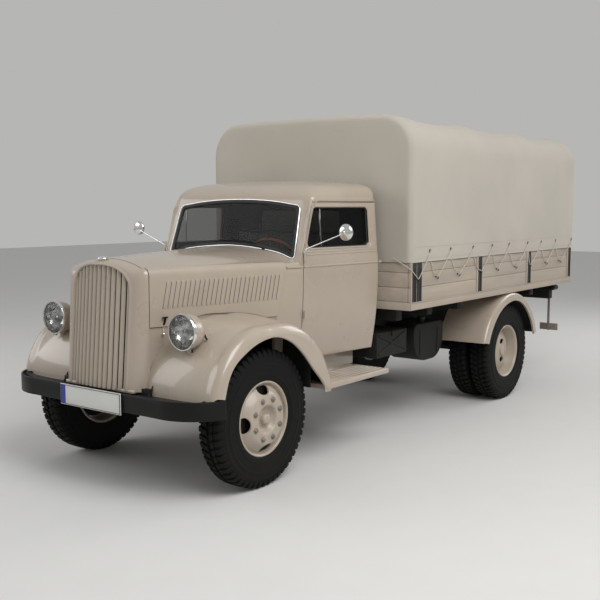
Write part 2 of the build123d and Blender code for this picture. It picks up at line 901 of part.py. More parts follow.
# Leaf springs: two at the front, two at the rear, each hung from its frame rail
# middle behind the front axle, seat height, half length
springs = ((-20, spring_seat_top, 580), (wheelbase, 515, 620))
spring_rise = 62
leaf_pack = 46
with BuildPart() as leaf_springs:
    for middle, seat, half_length in springs:
        with BuildSketch(side_plane(spring_x - spring_half_width)):
            with BuildLine():
                ThreePointArc(
                    (middle - half_length, seat + spring_rise),
                    (middle, seat),
                    (middle + half_length, seat + spring_rise),
                )
                Polyline(
                    (middle + half_length, seat + spring_rise),
                    (middle + half_length, rail_bottom),
                    (middle + half_length - 40, rail_bottom),
                    (middle + half_length - 40, seat + spring_rise + 14),
                )
                ThreePointArc(
                    (middle + half_length - 40, seat + spring_rise + 14),
                    (middle, seat + leaf_pack),
                    (middle - half_length + 40, seat + spring_rise + 14),
                )
                Polyline(
                    (middle - half_length + 40, seat + spring_rise + 14),
                    (middle - half_length + 40, rail_bottom),
                    (middle - half_length, rail_bottom),
                    (middle - half_length, seat + spring_rise),
                )
            make_face()
        extrude(amount=2 * spring_half_width)
    mirror(about=Plane.YZ)
write(leaf_springs.part, "leaf_springs")

# Steering knuckle: a fork round the axle's eye, the kingpin, the stub axle and its arm
ear_gap = 1
ear_thickness = 34
ear_low = axle_z - eye_height / 2 - ear_gap
ear_high = axle_z + eye_height / 2 + ear_gap
web_x0 = kingpin_x + eye_radius + 5
stub_end = 868
stud_radius = 8
rod_eye_height = 34
backplate_x = web_x0 + 18
with BuildPart() as knuckle:
    ear_x = (kingpin_x - 26, backplate_x)
    block(ear_x, (-28, 28), (ear_high, ear_high + ear_thickness))
    block(ear_x, (-28, 28), (ear_low - ear_thickness, ear_low))
    block((web_x0, backplate_x), (-28, 28), (ear_low - ear_thickness, ear_high + ear_thickness))
    with Locations(place(kingpin_x, 0, axle_z)):
        Cylinder(kingpin_radius, eye_height + 2 * ear_gap + 2 * ear_thickness)
    with BuildSketch(side_plane(backplate_x)):
        with Locations((0, axle_z)):
            Circle(180)
    extrude(amount=6)
    with BuildSketch(side_plane(backplate_x)):
        with Locations((0, axle_z)):
            Circle(spindle_radius)
    extrude(amount=stub_end - backplate_x)
    arm_low = ear_low - ear_thickness
    block((kingpin_x - 18, kingpin_x + 14), (20, steering_arm + 16), (arm_low, arm_low + 20))
    stud_low = tie_rod_z - rod_eye_height / 2
    with Locations(place(kingpin_x, steering_arm, (stud_low + arm_low + 10) / 2)):
        Cylinder(stud_radius, arm_low + 10 - stud_low)
write_pair(knuckle.part, "knuckle")

# Tie rod: joins the two knuckle arms behind the axle
rod_eye = 18
with BuildPart() as tie_rod:
    with BuildSketch(side_plane(-kingpin_x)):
        with Locations((steering_arm, tie_rod_z)):
            Circle(tie_rod_radius)
    extrude(amount=2 * kingpin_x)
    with Locations(place(kingpin_x, steering_arm, tie_rod_z), place(-kingpin_x, steering_arm, tie_rod_z)):
        Cylinder(rod_eye, rod_eye_height)
        Cylinder(stud_radius + running_clearance, 60, mode=Mode.SUBTRACT)
write(tie_rod.part, "tie_rod")

# Front wheels: a disc wheel with its hub and brake drum on the stub axle
hub_bore = spindle_radius + running_clearance
front_hub_inner = backplate_x + 12
front_rim_face = 880
with BuildPart() as front_wheel:
    with BuildSketch(cross_plane(0)):
        with BuildLine():
            Polyline(
                (front_hub_inner, axle_z + hub_bore),
                (front_hub_inner, axle_z + 178),
                (796, axle_z + 178),
                (800, axle_z + 60),
                (872, axle_z + 60),
                (878, axle_z + 120),
                (868, axle_z + 140),
                (826, axle_z + rim_radius - rim_wall),
                (710, axle_z + rim_radius - rim_wall),
                (710, axle_z + rim_radius),
                (front_rim_face, axle_z + rim_radius),
                (front_rim_face, axle_z + rim_radius - rim_wall),
                (838, axle_z + rim_radius - rim_wall),
                (880, axle_z + 142),
                (889, axle_z + 120),
                (886, axle_z + 64),
                (902, axle_z + 60),
                (905, axle_z + 42),
                (918, axle_z + 36),
                (924, axle_z),
                (stub_end + 6, axle_z),
                (stub_end + 6, axle_z + hub_bore),
                close=True,
            )
        make_face()
    revolve(axis=Axis(place(0, 0, axle_z), (1, 0, 0)))
    with BuildSketch(side_plane(800)):
        with Locations((0, axle_z)):
            with PolarLocations(hand_hole_circle, hand_hole_count, start_angle=45):
                Ellipse(27, 37)
    extrude(amount=140, mode=Mode.SUBTRACT)
write_pair(front_wheel.part, "front_wheel")


def tyre_shape(middle):
    """One tyre, with rounded shoulders, round the rim at the given side offset."""
    half = tyre_width / 2
    bead = half - 16
    with BuildSketch(cross_plane(0)) as drawn:
        with BuildLine():
            Line((middle - bead, axle_z + rim_radius), (middle + bead, axle_z + rim_radius))
            ThreePointArc(
                (middle + bead, axle_z + rim_radius),
                (middle + half, axle_z + rim_radius + 96),
                (middle + half - 10, axle_z + tyre_radius - 34),
            )
            ThreePointArc(
                (middle + half - 10, axle_z + tyre_radius - 34),
                (middle + half - 20, axle_z + tyre_radius - 10),
                (middle + half - 42, axle_z + tyre_radius),
            )
            Line((middle + half - 42, axle_z + tyre_radius), (middle - half + 42, axle_z + tyre_radius))
            ThreePointArc(
                (middle - half + 42, axle_z + tyre_radius),
                (middle - half + 20, axle_z + tyre_radius - 10),
                (middle - half + 10, axle_z + tyre_radius - 34),
            )
            ThreePointArc(
                (middle - half + 10, axle_z + tyre_radius - 34),
                (middle - half, axle_z + rim_radius + 96),
                (middle - bead, axle_z + rim_radius),
            )
        make_face()
    return revolve(drawn.sketch, axis=Axis(place(0, 0, axle_z), (1, 0, 0)))


front_tyre = tyre_shape(front_tyre_x)
write_pair(front_tyre, "front_tyre")

# Rear axle: a tube with the differential's housing in its middle, and the propeller shaft
drum_inner = 560
rear_hub_end = 858
with BuildPart() as rear_axle:
    with BuildSketch(side_plane(-745)):
        with Locations((wheelbase, axle_z)):
            Circle(rear_tube_radius)
    extrude(amount=2 * 745)
    with BuildSketch(cross_plane(wheelbase)):
        with BuildLine():
            Polyline((-190, axle_z), (-150, axle_z + 70), (-80, axle_z + 140), (80, axle_z + 140))
            Polyline((80, axle_z + 140), (150, axle_z + 70), (190, axle_z), (-190, axle_z))
        make_face()
    revolve(axis=Axis(place(0, wheelbase, axle_z), (1, 0, 0)))
    with BuildSketch(cross_plane(wheelbase - 120)):
        with Locations((0, axle_z)):
            Circle(70)
    extrude(amount=130)
    for side in (-1, 1):
        block(
            (side * spring_x - spring_half_width, side * spring_x + spring_half_width),
            (wheelbase - 40, wheelbase + 40),
            (axle_z, springs[1][1]),
        )
write(rear_axle.part, "rear_axle")
shaft_radius = 34
gearbox_shaft_z = 575
with BuildPart() as propeller_shaft:
    shaft_start = Vector(*place(0, gearbox_end + 10, gearbox_shaft_z))
    shaft_end = Vector(*place(0, wheelbase - 250, axle_z))
    shaft_axis = shaft_end - shaft_start
    with BuildSketch(Plane(origin=shaft_start, z_dir=shaft_axis)):
        Circle(shaft_radius)
    extrude(amount=shaft_axis.length - 12)
    with BuildSketch(cross_plane(wheelbase - 250)):
        with Locations((0, axle_z)):
            Circle(48)
    extrude(amount=30)
    with BuildSketch(cross_plane(gearbox_end + 30)):
        with Locations((0, gearbox_shaft_z)):
            Circle(48)
    extrude(amount=30)
write(propeller_shaft.part, "propeller_shaft")

# Rear wheels: twin disc wheels on one hub, with the brake drum inside
rear_bore = rear_tube_radius + running_clearance
rim_half = 80
outer_low = outer_tyre_x - rim_half
outer_face = outer_tyre_x + rim_half + 6
inner_face = inner_tyre_x - rim_half
inner_high = inner_tyre_x + rim_half
with BuildPart() as rear_wheels:
    with BuildSketch(cross_plane(wheelbase)):
        with BuildLine():
            Polyline(
                (inner_face + 12, axle_z + rear_bore),
                (inner_face + 12, axle_z + 190),
                (inner_tyre_x + 10, axle_z + 190),
                (inner_tyre_x + 14, axle_z + 96),
                (755, axle_z + 96),
                (755, axle_z + 136),
                (inner_high - 34, axle_z + rim_radius - rim_wall),
                (inner_face, axle_z + rim_radius - rim_wall),
                (inner_face, axle_z + rim_radius),
                (inner_high, axle_z + rim_radius),
                (inner_high, axle_z + rim_radius - rim_wall),
                (inner_high - 20, axle_z + rim_radius - rim_wall),
                (769, axle_z + 142),
                (775, axle_z + 142),
                (outer_low + 20, axle_z + rim_radius - rim_wall),
                (outer_low, axle_z + rim_radius - rim_wall),
                (outer_low, axle_z + rim_radius),
                (outer_face, axle_z + rim_radius),
                (outer_face, axle_z + rim_radius - rim_wall),
                (outer_low + 34, axle_z + rim_radius - rim_wall),
                (789, axle_z + 136),
                (789, axle_z + 72),
                (842, axle_z + 66),
                (rear_hub_end, axle_z + 52),
                (rear_hub_end, axle_z),
                (755, axle_z),
                (755, axle_z + rear_bore),
                close=True,
            )
        make_face()
    revolve(axis=Axis(place(0, wheelbase, axle_z), (1, 0, 0)))
    with BuildSketch(side_plane(700)):
        with Locations((wheelbase, axle_z)):
            with PolarLocations(hand_hole_circle + 18, hand_hole_count, start_angle=45):
                Ellipse(25, 34)
    extrude(amount=160, mode=Mode.SUBTRACT)
write_pair(rear_wheels.part, "rear_wheels")
twin_tyres = [Pos(0, wheelbase, 0) * tyre_shape(middle) for middle in (outer_tyre_x, inner_tyre_x)]
with BuildPart() as rear_tyres:
    add(twin_tyres)
write_pair(rear_tyres.part, "rear_tyres")

# Running boards, each with its apron under the door and its brackets on the frame
bracket_radius_z = 28
with BuildPart() as running_board:
    block((apron_x, board_outer), (board_front, board_rear), (board_top - board_thickness, board_top))
    block((apron_x, apron_x + 8), (fender_rear - 26, board_rear + 40), (board_top, cab_floor))
    for station in (800, 1300):
        low = board_top - board_thickness - bracket_radius_z
        block((rail_outer_x, 800), (station - 20, station + 20), (low, board_top - board_thickness))
        block((rail_outer_x, rail_outer_x + 12), (station - 20, station + 20), (low, rail_top - 20))
with BuildPart() as running_boards:
    add(running_board.part)
    mirror(about=Plane.YZ)
write(running_boards.part, "running_boards")

# Tool boxes, fuel tank and exhaust along the frame
tool_box_outer = 765
tank_outer = 720
tank_front = 2235
tank_rear = 2755
with BuildPart() as tool_boxes:
    block((rail_outer_x, tool_box_outer), (1562, 2030), (640, 845))
    mirror(about=Plane.YZ)
write(tool_boxes.part, "tool_boxes")
with BuildPart() as fuel_tank:
    block((rail_outer_x, tank_outer), (tank_front, tank_rear), (507, 840))
    fillet(fuel_tank.edges().filter_by(Axis.X).group_by(Axis.Z)[0], radius=200)
    fillet(fuel_tank.edges().filter_by(Axis.X).group_by(Axis.Z)[-1], radius=60)
write(fuel_tank.part, "fuel_tank")
pipe_x = -200
pipe_z = 545
pipe_radius = 25
muffler_radius = 70
pipe_front = 505
pipe_rear = 3000
muffler_front = 1360
muffler_rear = 1960
hanger_half = 12
with BuildPart() as exhaust:
    with BuildSketch(cross_plane(pipe_rear)):
        with Locations((pipe_x, pipe_z)):
            Circle(pipe_radius)
    extrude(amount=pipe_rear - pipe_front)
    with BuildSketch(cross_plane(muffler_rear)):
        with Locations((pipe_x, pipe_z)):
            Circle(muffler_radius)
    extrude(amount=muffler_rear - muffler_front)
    for station in cross_stations[2:4]:
        hanger_ends = (station - 15, station + 15)
        block((pipe_x - hanger_half, pipe_x + hanger_half), hanger_ends, (pipe_z, cross_bottom))
write(exhaust.part, "exhaust")

# Bed: subframe, floor, boards and tailgate
gate_hinge_y = bed_rear + gate_hinge_out
gate_strap_half = 28
gate_pin = 5
gate_ear = 8
inner_half = bed_half_width - board_thick
beam_x = (rail_outer_x - 90, rail_outer_x)
with BuildPart() as bed_subframe:
    for side in (-1, 1):
        beam_sides = sorted((side * beam_x[0], side * beam_x[1]))
        block(beam_sides, (bed_front + 30, bed_rear - 60), (rail_top, sill_bottom))
    for station, is_long in sills:
        half = sill_half if is_long else short_sill_half
        block(
            (-half, half),
            (station - sill_width / 2, station + sill_width / 2),
            (sill_bottom, floor_top - floor_board),
        )
    rear_station = sills[-1][0]
    block(
        (-sill_half, sill_half),
        (rear_station - sill_width / 2, rear_station + sill_width / 2),
        (sill_bottom - rear_sill_drop, sill_bottom),
    )
write(bed_subframe.part, "bed_subframe")
with BuildPart() as bed_floor:
    block((-bed_half_width, bed_half_width), (bed_front, bed_rear), (rim_bottom, floor_top))
    block(
        (-bed_half_width + rim_width, bed_half_width - rim_width),
        (bed_front + rim_width, bed_rear - rim_width),
        (rim_bottom, floor_top - floor_board),
        mode=Mode.SUBTRACT,
    )
    block(
        (-inner_half + deck_gap, inner_half - deck_gap),
        (bed_front + board_thick + deck_gap, bed_rear - board_thick - gate_gap),
        (floor_top, floor_top + deck_rise),
    )
    for hinge_x in gate_hinges:
        for ear in (-1, 1):
            ear_x = hinge_x + ear * (gate_strap_half + gate_ear)
            block(
                (ear_x - gate_ear + 2, ear_x + gate_ear - 2),
                (bed_rear, gate_hinge_y),
                (gate_hinge_z - gate_eye, gate_hinge_z + gate_eye),
            )
        with Locations(Location(place(hinge_x, gate_hinge_y, gate_hinge_z), (0, 90, 0))):
            Cylinder(gate_pin, 2 * (gate_strap_half + 2 * gate_ear - 2))
write(bed_floor.part, "bed_floor")
with BuildPart() as front_board:
    block((-inner_half, inner_half), (bed_front, bed_front + board_thick), (floor_top, board_top_z))
write(front_board.part, "front_board")
side_board_rear = bed_rear - board_thick - gate_gap
with BuildPart() as side_boards:
    block((inner_half, bed_half_width), (bed_front, side_board_rear), (floor_top, board_top_z))
    mirror(about=Plane.YZ)
write(side_boards.part, "side_boards")
gate_low = floor_top + gate_gap
gate_z = (gate_low, board_top_z - gate_head_gap)
with BuildPart() as tailgate:
    block((-bed_half_width, bed_half_width), (bed_rear - board_thick, bed_rear), gate_z)
    for hinge_x in gate_hinges:
        strap_x = (hinge_x - gate_strap_half, hinge_x + gate_strap_half)
        block(strap_x, (bed_rear, bed_rear + 8), (gate_low + 8, board_top_z - 60))
        block(strap_x, (bed_rear + 3, bed_rear + 8), (gate_hinge_z, gate_low + 10))
        with Locations(Location(place(hinge_x, gate_hinge_y, gate_hinge_z), (0, 90, 0))):
            Cylinder(gate_eye, 2 * gate_strap_half)
            Cylinder(gate_pin + seat_gap, 2 * gate_strap_half + 2, mode=Mode.SUBTRACT)
write(tailgate.part, "tailgate")

# Rear fenders over the twin wheels, with their brackets


def rear_fender_solid(shrink):
    """The rear fender's full shape, smaller by the given amount."""
    with BuildSketch(side_plane(rear_fender_inner)) as drawn:
        with BuildLine():
            ThreePointArc(
                (rear_fender_front + shrink, rear_fender_bottom + 20),
                (3590, rear_fender_top - shrink),
                (rear_fender_back - shrink, rear_fender_bottom),
            )
            Polyline(
                (rear_fender_back - shrink, rear_fender_bottom),
                (rear_fender_back - shrink, 400),
                (rear_fender_front + shrink, 400),
                (rear_fender_front + shrink, rear_fender_bottom + 20),
            )
        make_face()
    solid = extrude(drawn.sketch, amount=rear_fender_outer - rear_fender_inner - shrink)
    crown_edges = solid.edges().filter_by(GeomType.CIRCLE).sort_by(Axis.X)[-1]
    return fillet(crown_edges, radius=50 - shrink)


rear_arch_place = Pos(rear_fender_outer, front_axle_y + wheelbase, axle_z) * Rot(0, 90, 0)
rear_arch = rear_arch_place * Cylinder(rear_arch_radius, 300)
rear_full = rear_fender_solid(0)
rear_inside = rear_fender_solid(sheet)
with BuildPart() as rear_fender:
    add(rear_full)
    add(rear_inside, mode=Mode.SUBTRACT)
    add(rear_arch, mode=Mode.SUBTRACT)
    block((400, 1100), (2700, 4500), (300, rear_fender_bottom + 15), mode=Mode.SUBTRACT)
    for station in (3013, 4162):
        block((rail_outer_x, rear_fender_inner + 40), (station - 12, station + 12), (640, 670))
with BuildPart() as rear_fenders:
    add(rear_fender.part)
    mirror(about=Plane.YZ)
write(rear_fenders.part, "rear_fenders")

# Marker board on its post, and the tail lamps on the ends of the rear sill
marker_x = 845
marker_y = 4955
marker_bottom = 512
with BuildPart() as marker_board:
    post_z = (marker_bottom + 2, sill_bottom - rear_sill_drop)
    block((marker_x - 12, marker_x + 12), (marker_y - 12, marker_y + 12), post_z)
    board_z = (marker_bottom, marker_bottom + 76)
    block((marker_x - 101, marker_x + 101), (marker_y + 12, marker_y + 18), board_z)
write(marker_board.part, "marker_board")
tail_lamp_radius = 28
with BuildPart() as tail_lamps:
    with BuildSketch(cross_plane(marker_y + 90)):
        for side in (-1, 1):
            with Locations((side * (sill_half + tail_lamp_radius), 980)):
                Circle(tail_lamp_radius)
    extrude(amount=150)
write(tail_lamps.part, "tail_lamps")

# Canvas tilt over four bows


def tilt_section(plane, half, top, crown, shoulder):
    """The tilt cut across: upright sides, round shoulders and a slightly crowned top."""
    with BuildSketch(plane) as drawn:
        with BuildLine():
            Polyline((-half, top - shoulder), (-half, board_top_z), (half, board_top_z))
            Line((half, board_top_z), (half, top - shoulder))
            side = half - shoulder
            bend = 0.293 * shoulder
            edge = top - crown
            ThreePointArc((half, top - shoulder), (half - bend, edge - bend + 4), (side, edge))
            ThreePointArc((side, edge), (0, top), (-side, edge))
            ThreePointArc((-side, edge), (-half + bend, edge - bend + 4), (-half, top - shoulder))
        make_face()
    return drawn.sketch


tilt_half = bed_half_width + canvas_lap
tilt_rear = bed_rear + canvas_lap
tilt_front = bed_front - canvas_lap
tilt_outer = tilt_section(cross_plane(tilt_rear), tilt_half, canvas_top, canvas_crown, canvas_shoulder)
tilt_inner = tilt_section(
    cross_plane(tilt_rear - canvas_thickness),
    tilt_half - canvas_thickness,
    canvas_top - canvas_thickness,
    canvas_crown,
    canvas_shoulder - canvas_thickness,
)
with BuildPart() as canvas_tilt:
    extrude(tilt_outer, amount=tilt_rear - tilt_front)
    extrude(tilt_inner, amount=tilt_rear - tilt_front - 2 * canvas_thickness, mode=Mode.SUBTRACT)
write(canvas_tilt.part, "canvas_tilt")
bow_gap = canvas_thickness + seat_gap


def bow_face(station, depth):
    """A bow's outline at the given depth under the canvas."""
    inset = bow_gap + depth
    plane = cross_plane(station + bow_radius)
    return tilt_section(plane, tilt_half - inset, canvas_top - inset, canvas_crown, canvas_shoulder - inset)


bow_outer_faces = [bow_face(station, 0) for station in bow_stations]
bow_inner_faces = [bow_face(station, 2 * bow_radius) for station in bow_stations]
with BuildPart() as canvas_bows:
    for outer, inner in zip(bow_outer_faces, bow_inner_faces):
        extrude(outer, amount=2 * bow_radius)
        extrude(inner, amount=2 * bow_radius, mode=Mode.SUBTRACT)
write(canvas_bows.part, "canvas_bows")
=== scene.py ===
import json
from math import atan, atan2, cos, degrees, exp, pi, radians, sin, sqrt

import bpy
from mathutils import Matrix, Vector


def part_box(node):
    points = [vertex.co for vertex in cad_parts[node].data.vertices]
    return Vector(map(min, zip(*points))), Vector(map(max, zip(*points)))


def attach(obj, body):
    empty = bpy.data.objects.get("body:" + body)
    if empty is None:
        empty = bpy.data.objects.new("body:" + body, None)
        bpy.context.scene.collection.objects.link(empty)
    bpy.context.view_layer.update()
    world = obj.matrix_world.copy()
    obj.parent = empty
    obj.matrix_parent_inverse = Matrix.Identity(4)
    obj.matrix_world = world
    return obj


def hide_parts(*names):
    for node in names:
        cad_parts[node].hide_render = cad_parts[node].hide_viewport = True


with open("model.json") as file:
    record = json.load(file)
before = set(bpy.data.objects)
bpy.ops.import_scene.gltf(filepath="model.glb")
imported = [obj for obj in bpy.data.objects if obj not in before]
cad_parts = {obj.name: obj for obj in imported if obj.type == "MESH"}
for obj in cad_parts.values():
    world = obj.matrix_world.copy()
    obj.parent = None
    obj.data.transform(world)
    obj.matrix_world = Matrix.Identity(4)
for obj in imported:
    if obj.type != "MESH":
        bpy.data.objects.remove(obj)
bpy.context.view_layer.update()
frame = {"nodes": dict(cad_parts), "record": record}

# A three-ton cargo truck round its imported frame. Places are given in millimetres as the side offset,
# the distance behind the front axle and the height, and at() turns them into the frame's metres.

tyre_low, tyre_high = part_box("front_tyre_left")
front_axle_y = (tyre_low.y + tyre_high.y) / 2
axle_height = 465
wheelbase = 3600
rear_glass_half = 420


def at(x, behind, z):
    """A point in metres from its side offset, its distance behind the front axle and its height."""
    return Vector((x / 1000, front_axle_y + behind / 1000, z / 1000))


# Tables and curves


def table(rows, t):
    """The values at t in rows of (t, value, ...), on a smooth curve through them all."""
    if t <= rows[0][0]:
        return list(rows[0][1:])
    if t >= rows[-1][0]:
        return list(rows[-1][1:])
    i = 0
    while rows[i + 1][0] < t:
        i += 1
    low, high = rows[i], rows[i + 1]
    span = high[0] - low[0]
    w = (t - low[0]) / span
    found = []
    for k in range(1, len(low)):
        slope = (high[k] - low[k]) / span
        before = after = slope
        if i > 0:
            before = (slope + (low[k] - rows[i - 1][k]) / (low[0] - rows[i - 1][0])) / 2
        if i + 2 < len(rows):
            after = (slope + (rows[i + 2][k] - high[k]) / (rows[i + 2][0] - high[0])) / 2
        h1 = 2 * w**3 - 3 * w**2 + 1
        h2 = w**3 - 2 * w**2 + w
        h3 = 3 * w**2 - 2 * w**3
        h4 = w**3 - w**2
        found.append(h1 * low[k] + h2 * span * before + h3 * high[k] + h4 * span * after)
    return found


def mix(low, high, w):
    return low + (high - low) * w


def rounded(corners, radii, steps=8):
    """An open line through corners, each rounded by its own radius."""
    line = []
    for i, corner in enumerate(corners):
        r = radii[i]
        if not r:
            line.append(tuple(corner))
            continue
        here = Vector(corner)
        back = (Vector(corners[i - 1]) - here).normalized()
        on = (Vector(corners[(i + 1) % len(corners)]) - here).normalized()
        half = back.angle(on) / 2
        reach = r / (sin(half) / cos(half))
        centre = here + (back + on).normalized() * (r / sin(half))
        first = here + back * reach - centre
        last = here + on * reach - centre
        for k in range(steps + 1):
            w = k / steps
            turn = first.lerp(last, w)
            line.append(tuple(centre + turn.normalized() * r))
    return line


def evenly(line, count):
    """The same open line as count points, equally far apart."""
    points = [Vector(p) for p in line]
    lengths = [0]
    for a, b in zip(points, points[1:]):
        lengths.append(lengths[-1] + (b - a).length)
    found = []
    i = 0
    for k in range(count):
        goal = lengths[-1] * k / (count - 1)
        while i < len(points) - 2 and lengths[i + 1] < goal:
            i += 1
        span = lengths[i + 1] - lengths[i] or 1
        found.append(points[i].lerp(points[i + 1], (goal - lengths[i]) / span))
    return found


def rounded_line(corners, per):
    """A smooth open line through points, with per steps between each two."""
    rows = [(i, *p) for i, p in enumerate(corners)]
    count = (len(corners) - 1) * per
    return [tuple(table(rows, i / per)) for i in range(count + 1)]


def arch_height(ring, x):
    """The height of an arched line at a side offset."""
    best = min(ring[:40], key=lambda p: abs(p.x - x))
    return best.y


# Materials


def add(tree, kind, inputs, **settings):
    """A shader node with its settings, and a value or a link for each input named."""
    node = tree.nodes.new("ShaderNode" + kind)
    for key, value in settings.items():
        setattr(node, key, value)
    for key, value in inputs.items():
        if isinstance(value, bpy.types.NodeSocket):
            tree.links.new(value, node.inputs[key])
        else:
            node.inputs[key].default_value = value
    return node


dust_colour = (0.30, 0.26, 0.20, 1)
dust_top, dust_full = 0.9, 0.2  # heights in metres between which dust comes on


def dusted(tree, place, colour, dust):
    """A colour with spots of dust over it, which grow towards the ground."""
    split = add(tree, "SeparateXYZ", {"Vector": place})
    low = add(tree, "MapRange", {"Value": split.outputs["Z"], "From Min": dust_top, "From Max": dust_full})
    spots = add(tree, "TexNoise", {"Vector": place, "Scale": 14, "Detail": 8})
    part = add(tree, "Math", {0: low.outputs["Result"], 1: spots.outputs["Fac"]}, operation="MULTIPLY")
    amount = add(tree, "Math", {0: part.outputs["Value"], 1: dust}, operation="MULTIPLY")
    inputs = {"Factor": amount.outputs["Value"], "A": colour, "B": dust_colour}
    cover = add(tree, "Mix", inputs, data_type="RGBA")
    return cover.outputs["Result"]


def finish(name, colour, roughness, metallic=0.0, vary=0.06, grain=4.0, bump=0.02, bump_scale=60.0,
           coat=0.0, dust=0.0, specular=0.5, stretch=(1, 1, 1)):
    """A paint or metal with slight changes of colour and roughness, a fine bump and dust low down."""
    made = bpy.data.materials.new(name)
    made.use_nodes = True
    tree = made.node_tree
    place = add(tree, "TexCoord", {}).outputs["Object"]
    scaled = add(tree, "Mapping", {"Vector": place, "Scale": stretch}).outputs["Vector"]
    broad = add(tree, "TexNoise", {"Vector": scaled, "Scale": grain, "Detail": 6}).outputs["Fac"]
    ramp = add(tree, "ValToRGB", {"Fac": broad})
    for element, position, share in zip(ramp.color_ramp.elements, (0.3, 0.7), (1 - vary, 1 + vary)):
        element.position = position
        element.color = (*[min(1, c * share) for c in colour], 1)
    rough = add(tree, "MapRange", {
        "Value": broad, "To Min": max(0.02, roughness - 0.07), "To Max": min(1, roughness + 0.07)})
    fine = add(tree, "TexNoise", {"Vector": scaled, "Scale": bump_scale, "Detail": 4})
    raised = add(tree, "Bump", {"Height": fine.outputs["Fac"], "Strength": bump, "Distance": 0.004})
    shader = tree.nodes["Principled BSDF"]
    shader.inputs["Metallic"].default_value = metallic
    shader.inputs["Coat Weight"].default_value = coat
    shader.inputs["Specular IOR Level"].default_value = specular
    colour_out = ramp.outputs["Color"]
    if dust:
        colour_out = dusted(tree, place, colour_out, dust)
    tree.links.new(colour_out, shader.inputs["Base Color"])
    tree.links.new(rough.outputs["Result"], shader.inputs["Roughness"])
    tree.links.new(raised.outputs["Normal"], shader.inputs["Normal"])
    return made


def woven(name, colour, thread, roughness, strength):
    """A cloth with crossed threads, a little uneven in colour."""
    made = finish(name, colour, roughness, vary=0.05, grain=1.6, bump=0.0, specular=0.2)
    tree = made.node_tree
    tree.nodes["Principled BSDF"].inputs["Sheen Weight"].default_value = 0.15
    place = add(tree, "TexCoord", {}).outputs["Object"]
    warp, weft = [
        add(tree, "TexWave", {"Vector": place, "Scale": thread, "Distortion": 0.4}, bands_direction=direction)
        for direction in ("Y", "Z")]
    crossed = add(tree, "Math", {0: warp.outputs["Fac"], 1: weft.outputs["Fac"]}, operation="ADD")
    raised = next(n for n in tree.nodes if n.type == "BUMP")
    raised.inputs["Strength"].default_value = strength
    raised.inputs["Distance"].default_value = 0.0015
    tree.links.new(crossed.outputs["Value"], raised.inputs["Height"])
    return made


def clear(name, colour, roughness, cover, specular):
    """A pane of glass, tinted and partly see-through."""
    made = finish(name, colour, roughness, vary=0.02, bump=0.0)
    shader = made.node_tree.nodes["Principled BSDF"]
    shader.inputs["Alpha"].default_value = cover
    shader.inputs["IOR"].default_value = 1.5
    shader.inputs["Specular IOR Level"].default_value = specular
    return made


beige = (0.40, 0.338, 0.272)
body_paint = finish("body_paint", beige, 0.29, vary=0.035, bump=0.01, coat=0.6, dust=0.25)
board_paint = finish("board_paint", (0.385, 0.328, 0.265), 0.6, vary=0.10, grain=9, bump=0.25, bump_scale=30,
                     stretch=(1, 0.12, 1))
wheel_paint = finish("wheel_paint", (0.42, 0.358, 0.29), 0.38, coat=0.2, dust=0.3)
black_paint = finish("black_paint", (0.005, 0.005, 0.005), 0.45, vary=0.15, dust=0.02, specular=0.22)
chassis_paint = finish("chassis_paint", (0.007, 0.007, 0.007), 0.6, vary=0.25, bump=0.08, dust=0.06,
                       specular=0.3)
strap_iron = finish("strap_iron", (0.016, 0.016, 0.016), 0.45, metallic=0.2, vary=0.25, bump=0.1)
chrome = finish("chrome", (0.78, 0.78, 0.77), 0.08, metallic=1.0, vary=0.03, bump=0.0)
nut_iron = finish("nut_iron", (0.20, 0.172, 0.142), 0.42, metallic=0.2, vary=0.12, bump=0.05)
rubber = finish("rubber", (0.004, 0.004, 0.004), 0.66, vary=0.2, bump=0.25, bump_scale=220, dust=0.02,
                specular=0.16)
gasket = finish("gasket", (0.015, 0.015, 0.015), 0.6, vary=0.1, bump=0.05)
canvas = woven("canvas", (0.45, 0.415, 0.36), 330, 0.9, 0.25)
rope_fibre = finish("rope_fibre", (0.50, 0.46, 0.38), 0.85, vary=0.15, grain=60, bump=0.5, bump_scale=600)
leather = finish("leather", (0.055, 0.040, 0.030), 0.45, vary=0.15, grain=9, bump=0.3, bump_scale=320)
wheel_brown = finish("wheel_brown", (0.33, 0.10, 0.035), 0.25, coat=0.4, vary=0.2, grain=14)
cabin_black = finish("cabin_black", (0.010, 0.010, 0.010), 0.7, vary=0.2, specular=0.2)
lamp_mirror = finish("lamp_mirror", (0.62, 0.62, 0.60), 0.08, metallic=1.0, vary=0.75, grain=26, bump=0.9,
                     bump_scale=34)
engine_iron = finish("engine_iron", (0.10, 0.10, 0.10), 0.6, metallic=0.3, vary=0.25, bump=0.3)
core_black = finish("core_black", (0.010, 0.010, 0.010), 0.7, vary=0.2, bump=0.4, bump_scale=300)
plate_white = finish("plate_white", (0.62, 0.62, 0.60), 0.4, vary=0.03)
plate_blue = finish("plate_blue", (0.02, 0.03, 0.28), 0.4, vary=0.05)
exhaust_iron = finish("exhaust_iron", (0.11, 0.07, 0.05), 0.8, vary=0.3, grain=12, bump=0.3)
marker_brown = finish("marker_brown", (0.20, 0.17, 0.14), 0.6, vary=0.15, grain=12, bump=0.2)
lens_red = finish("lens_red", (0.25, 0.01, 0.01), 0.15, vary=0.1, coat=0.5)
window_glass = clear("window_glass", (0.004, 0.005, 0.005), 0.02, 0.34, 0.2)
lens_glass = clear("lens_glass", (0.05, 0.055, 0.055), 0.03, 0.16, 0.6)


# Making pieces


def begin():
    """Object mode, with nothing selected."""
    if bpy.context.object and bpy.context.object.mode != "OBJECT":
        bpy.ops.object.mode_set(mode="OBJECT")
    bpy.ops.object.select_all(action="DESELECT")


def only(piece):
    begin()
    piece.select_set(True)
    bpy.context.view_layer.objects.active = piece


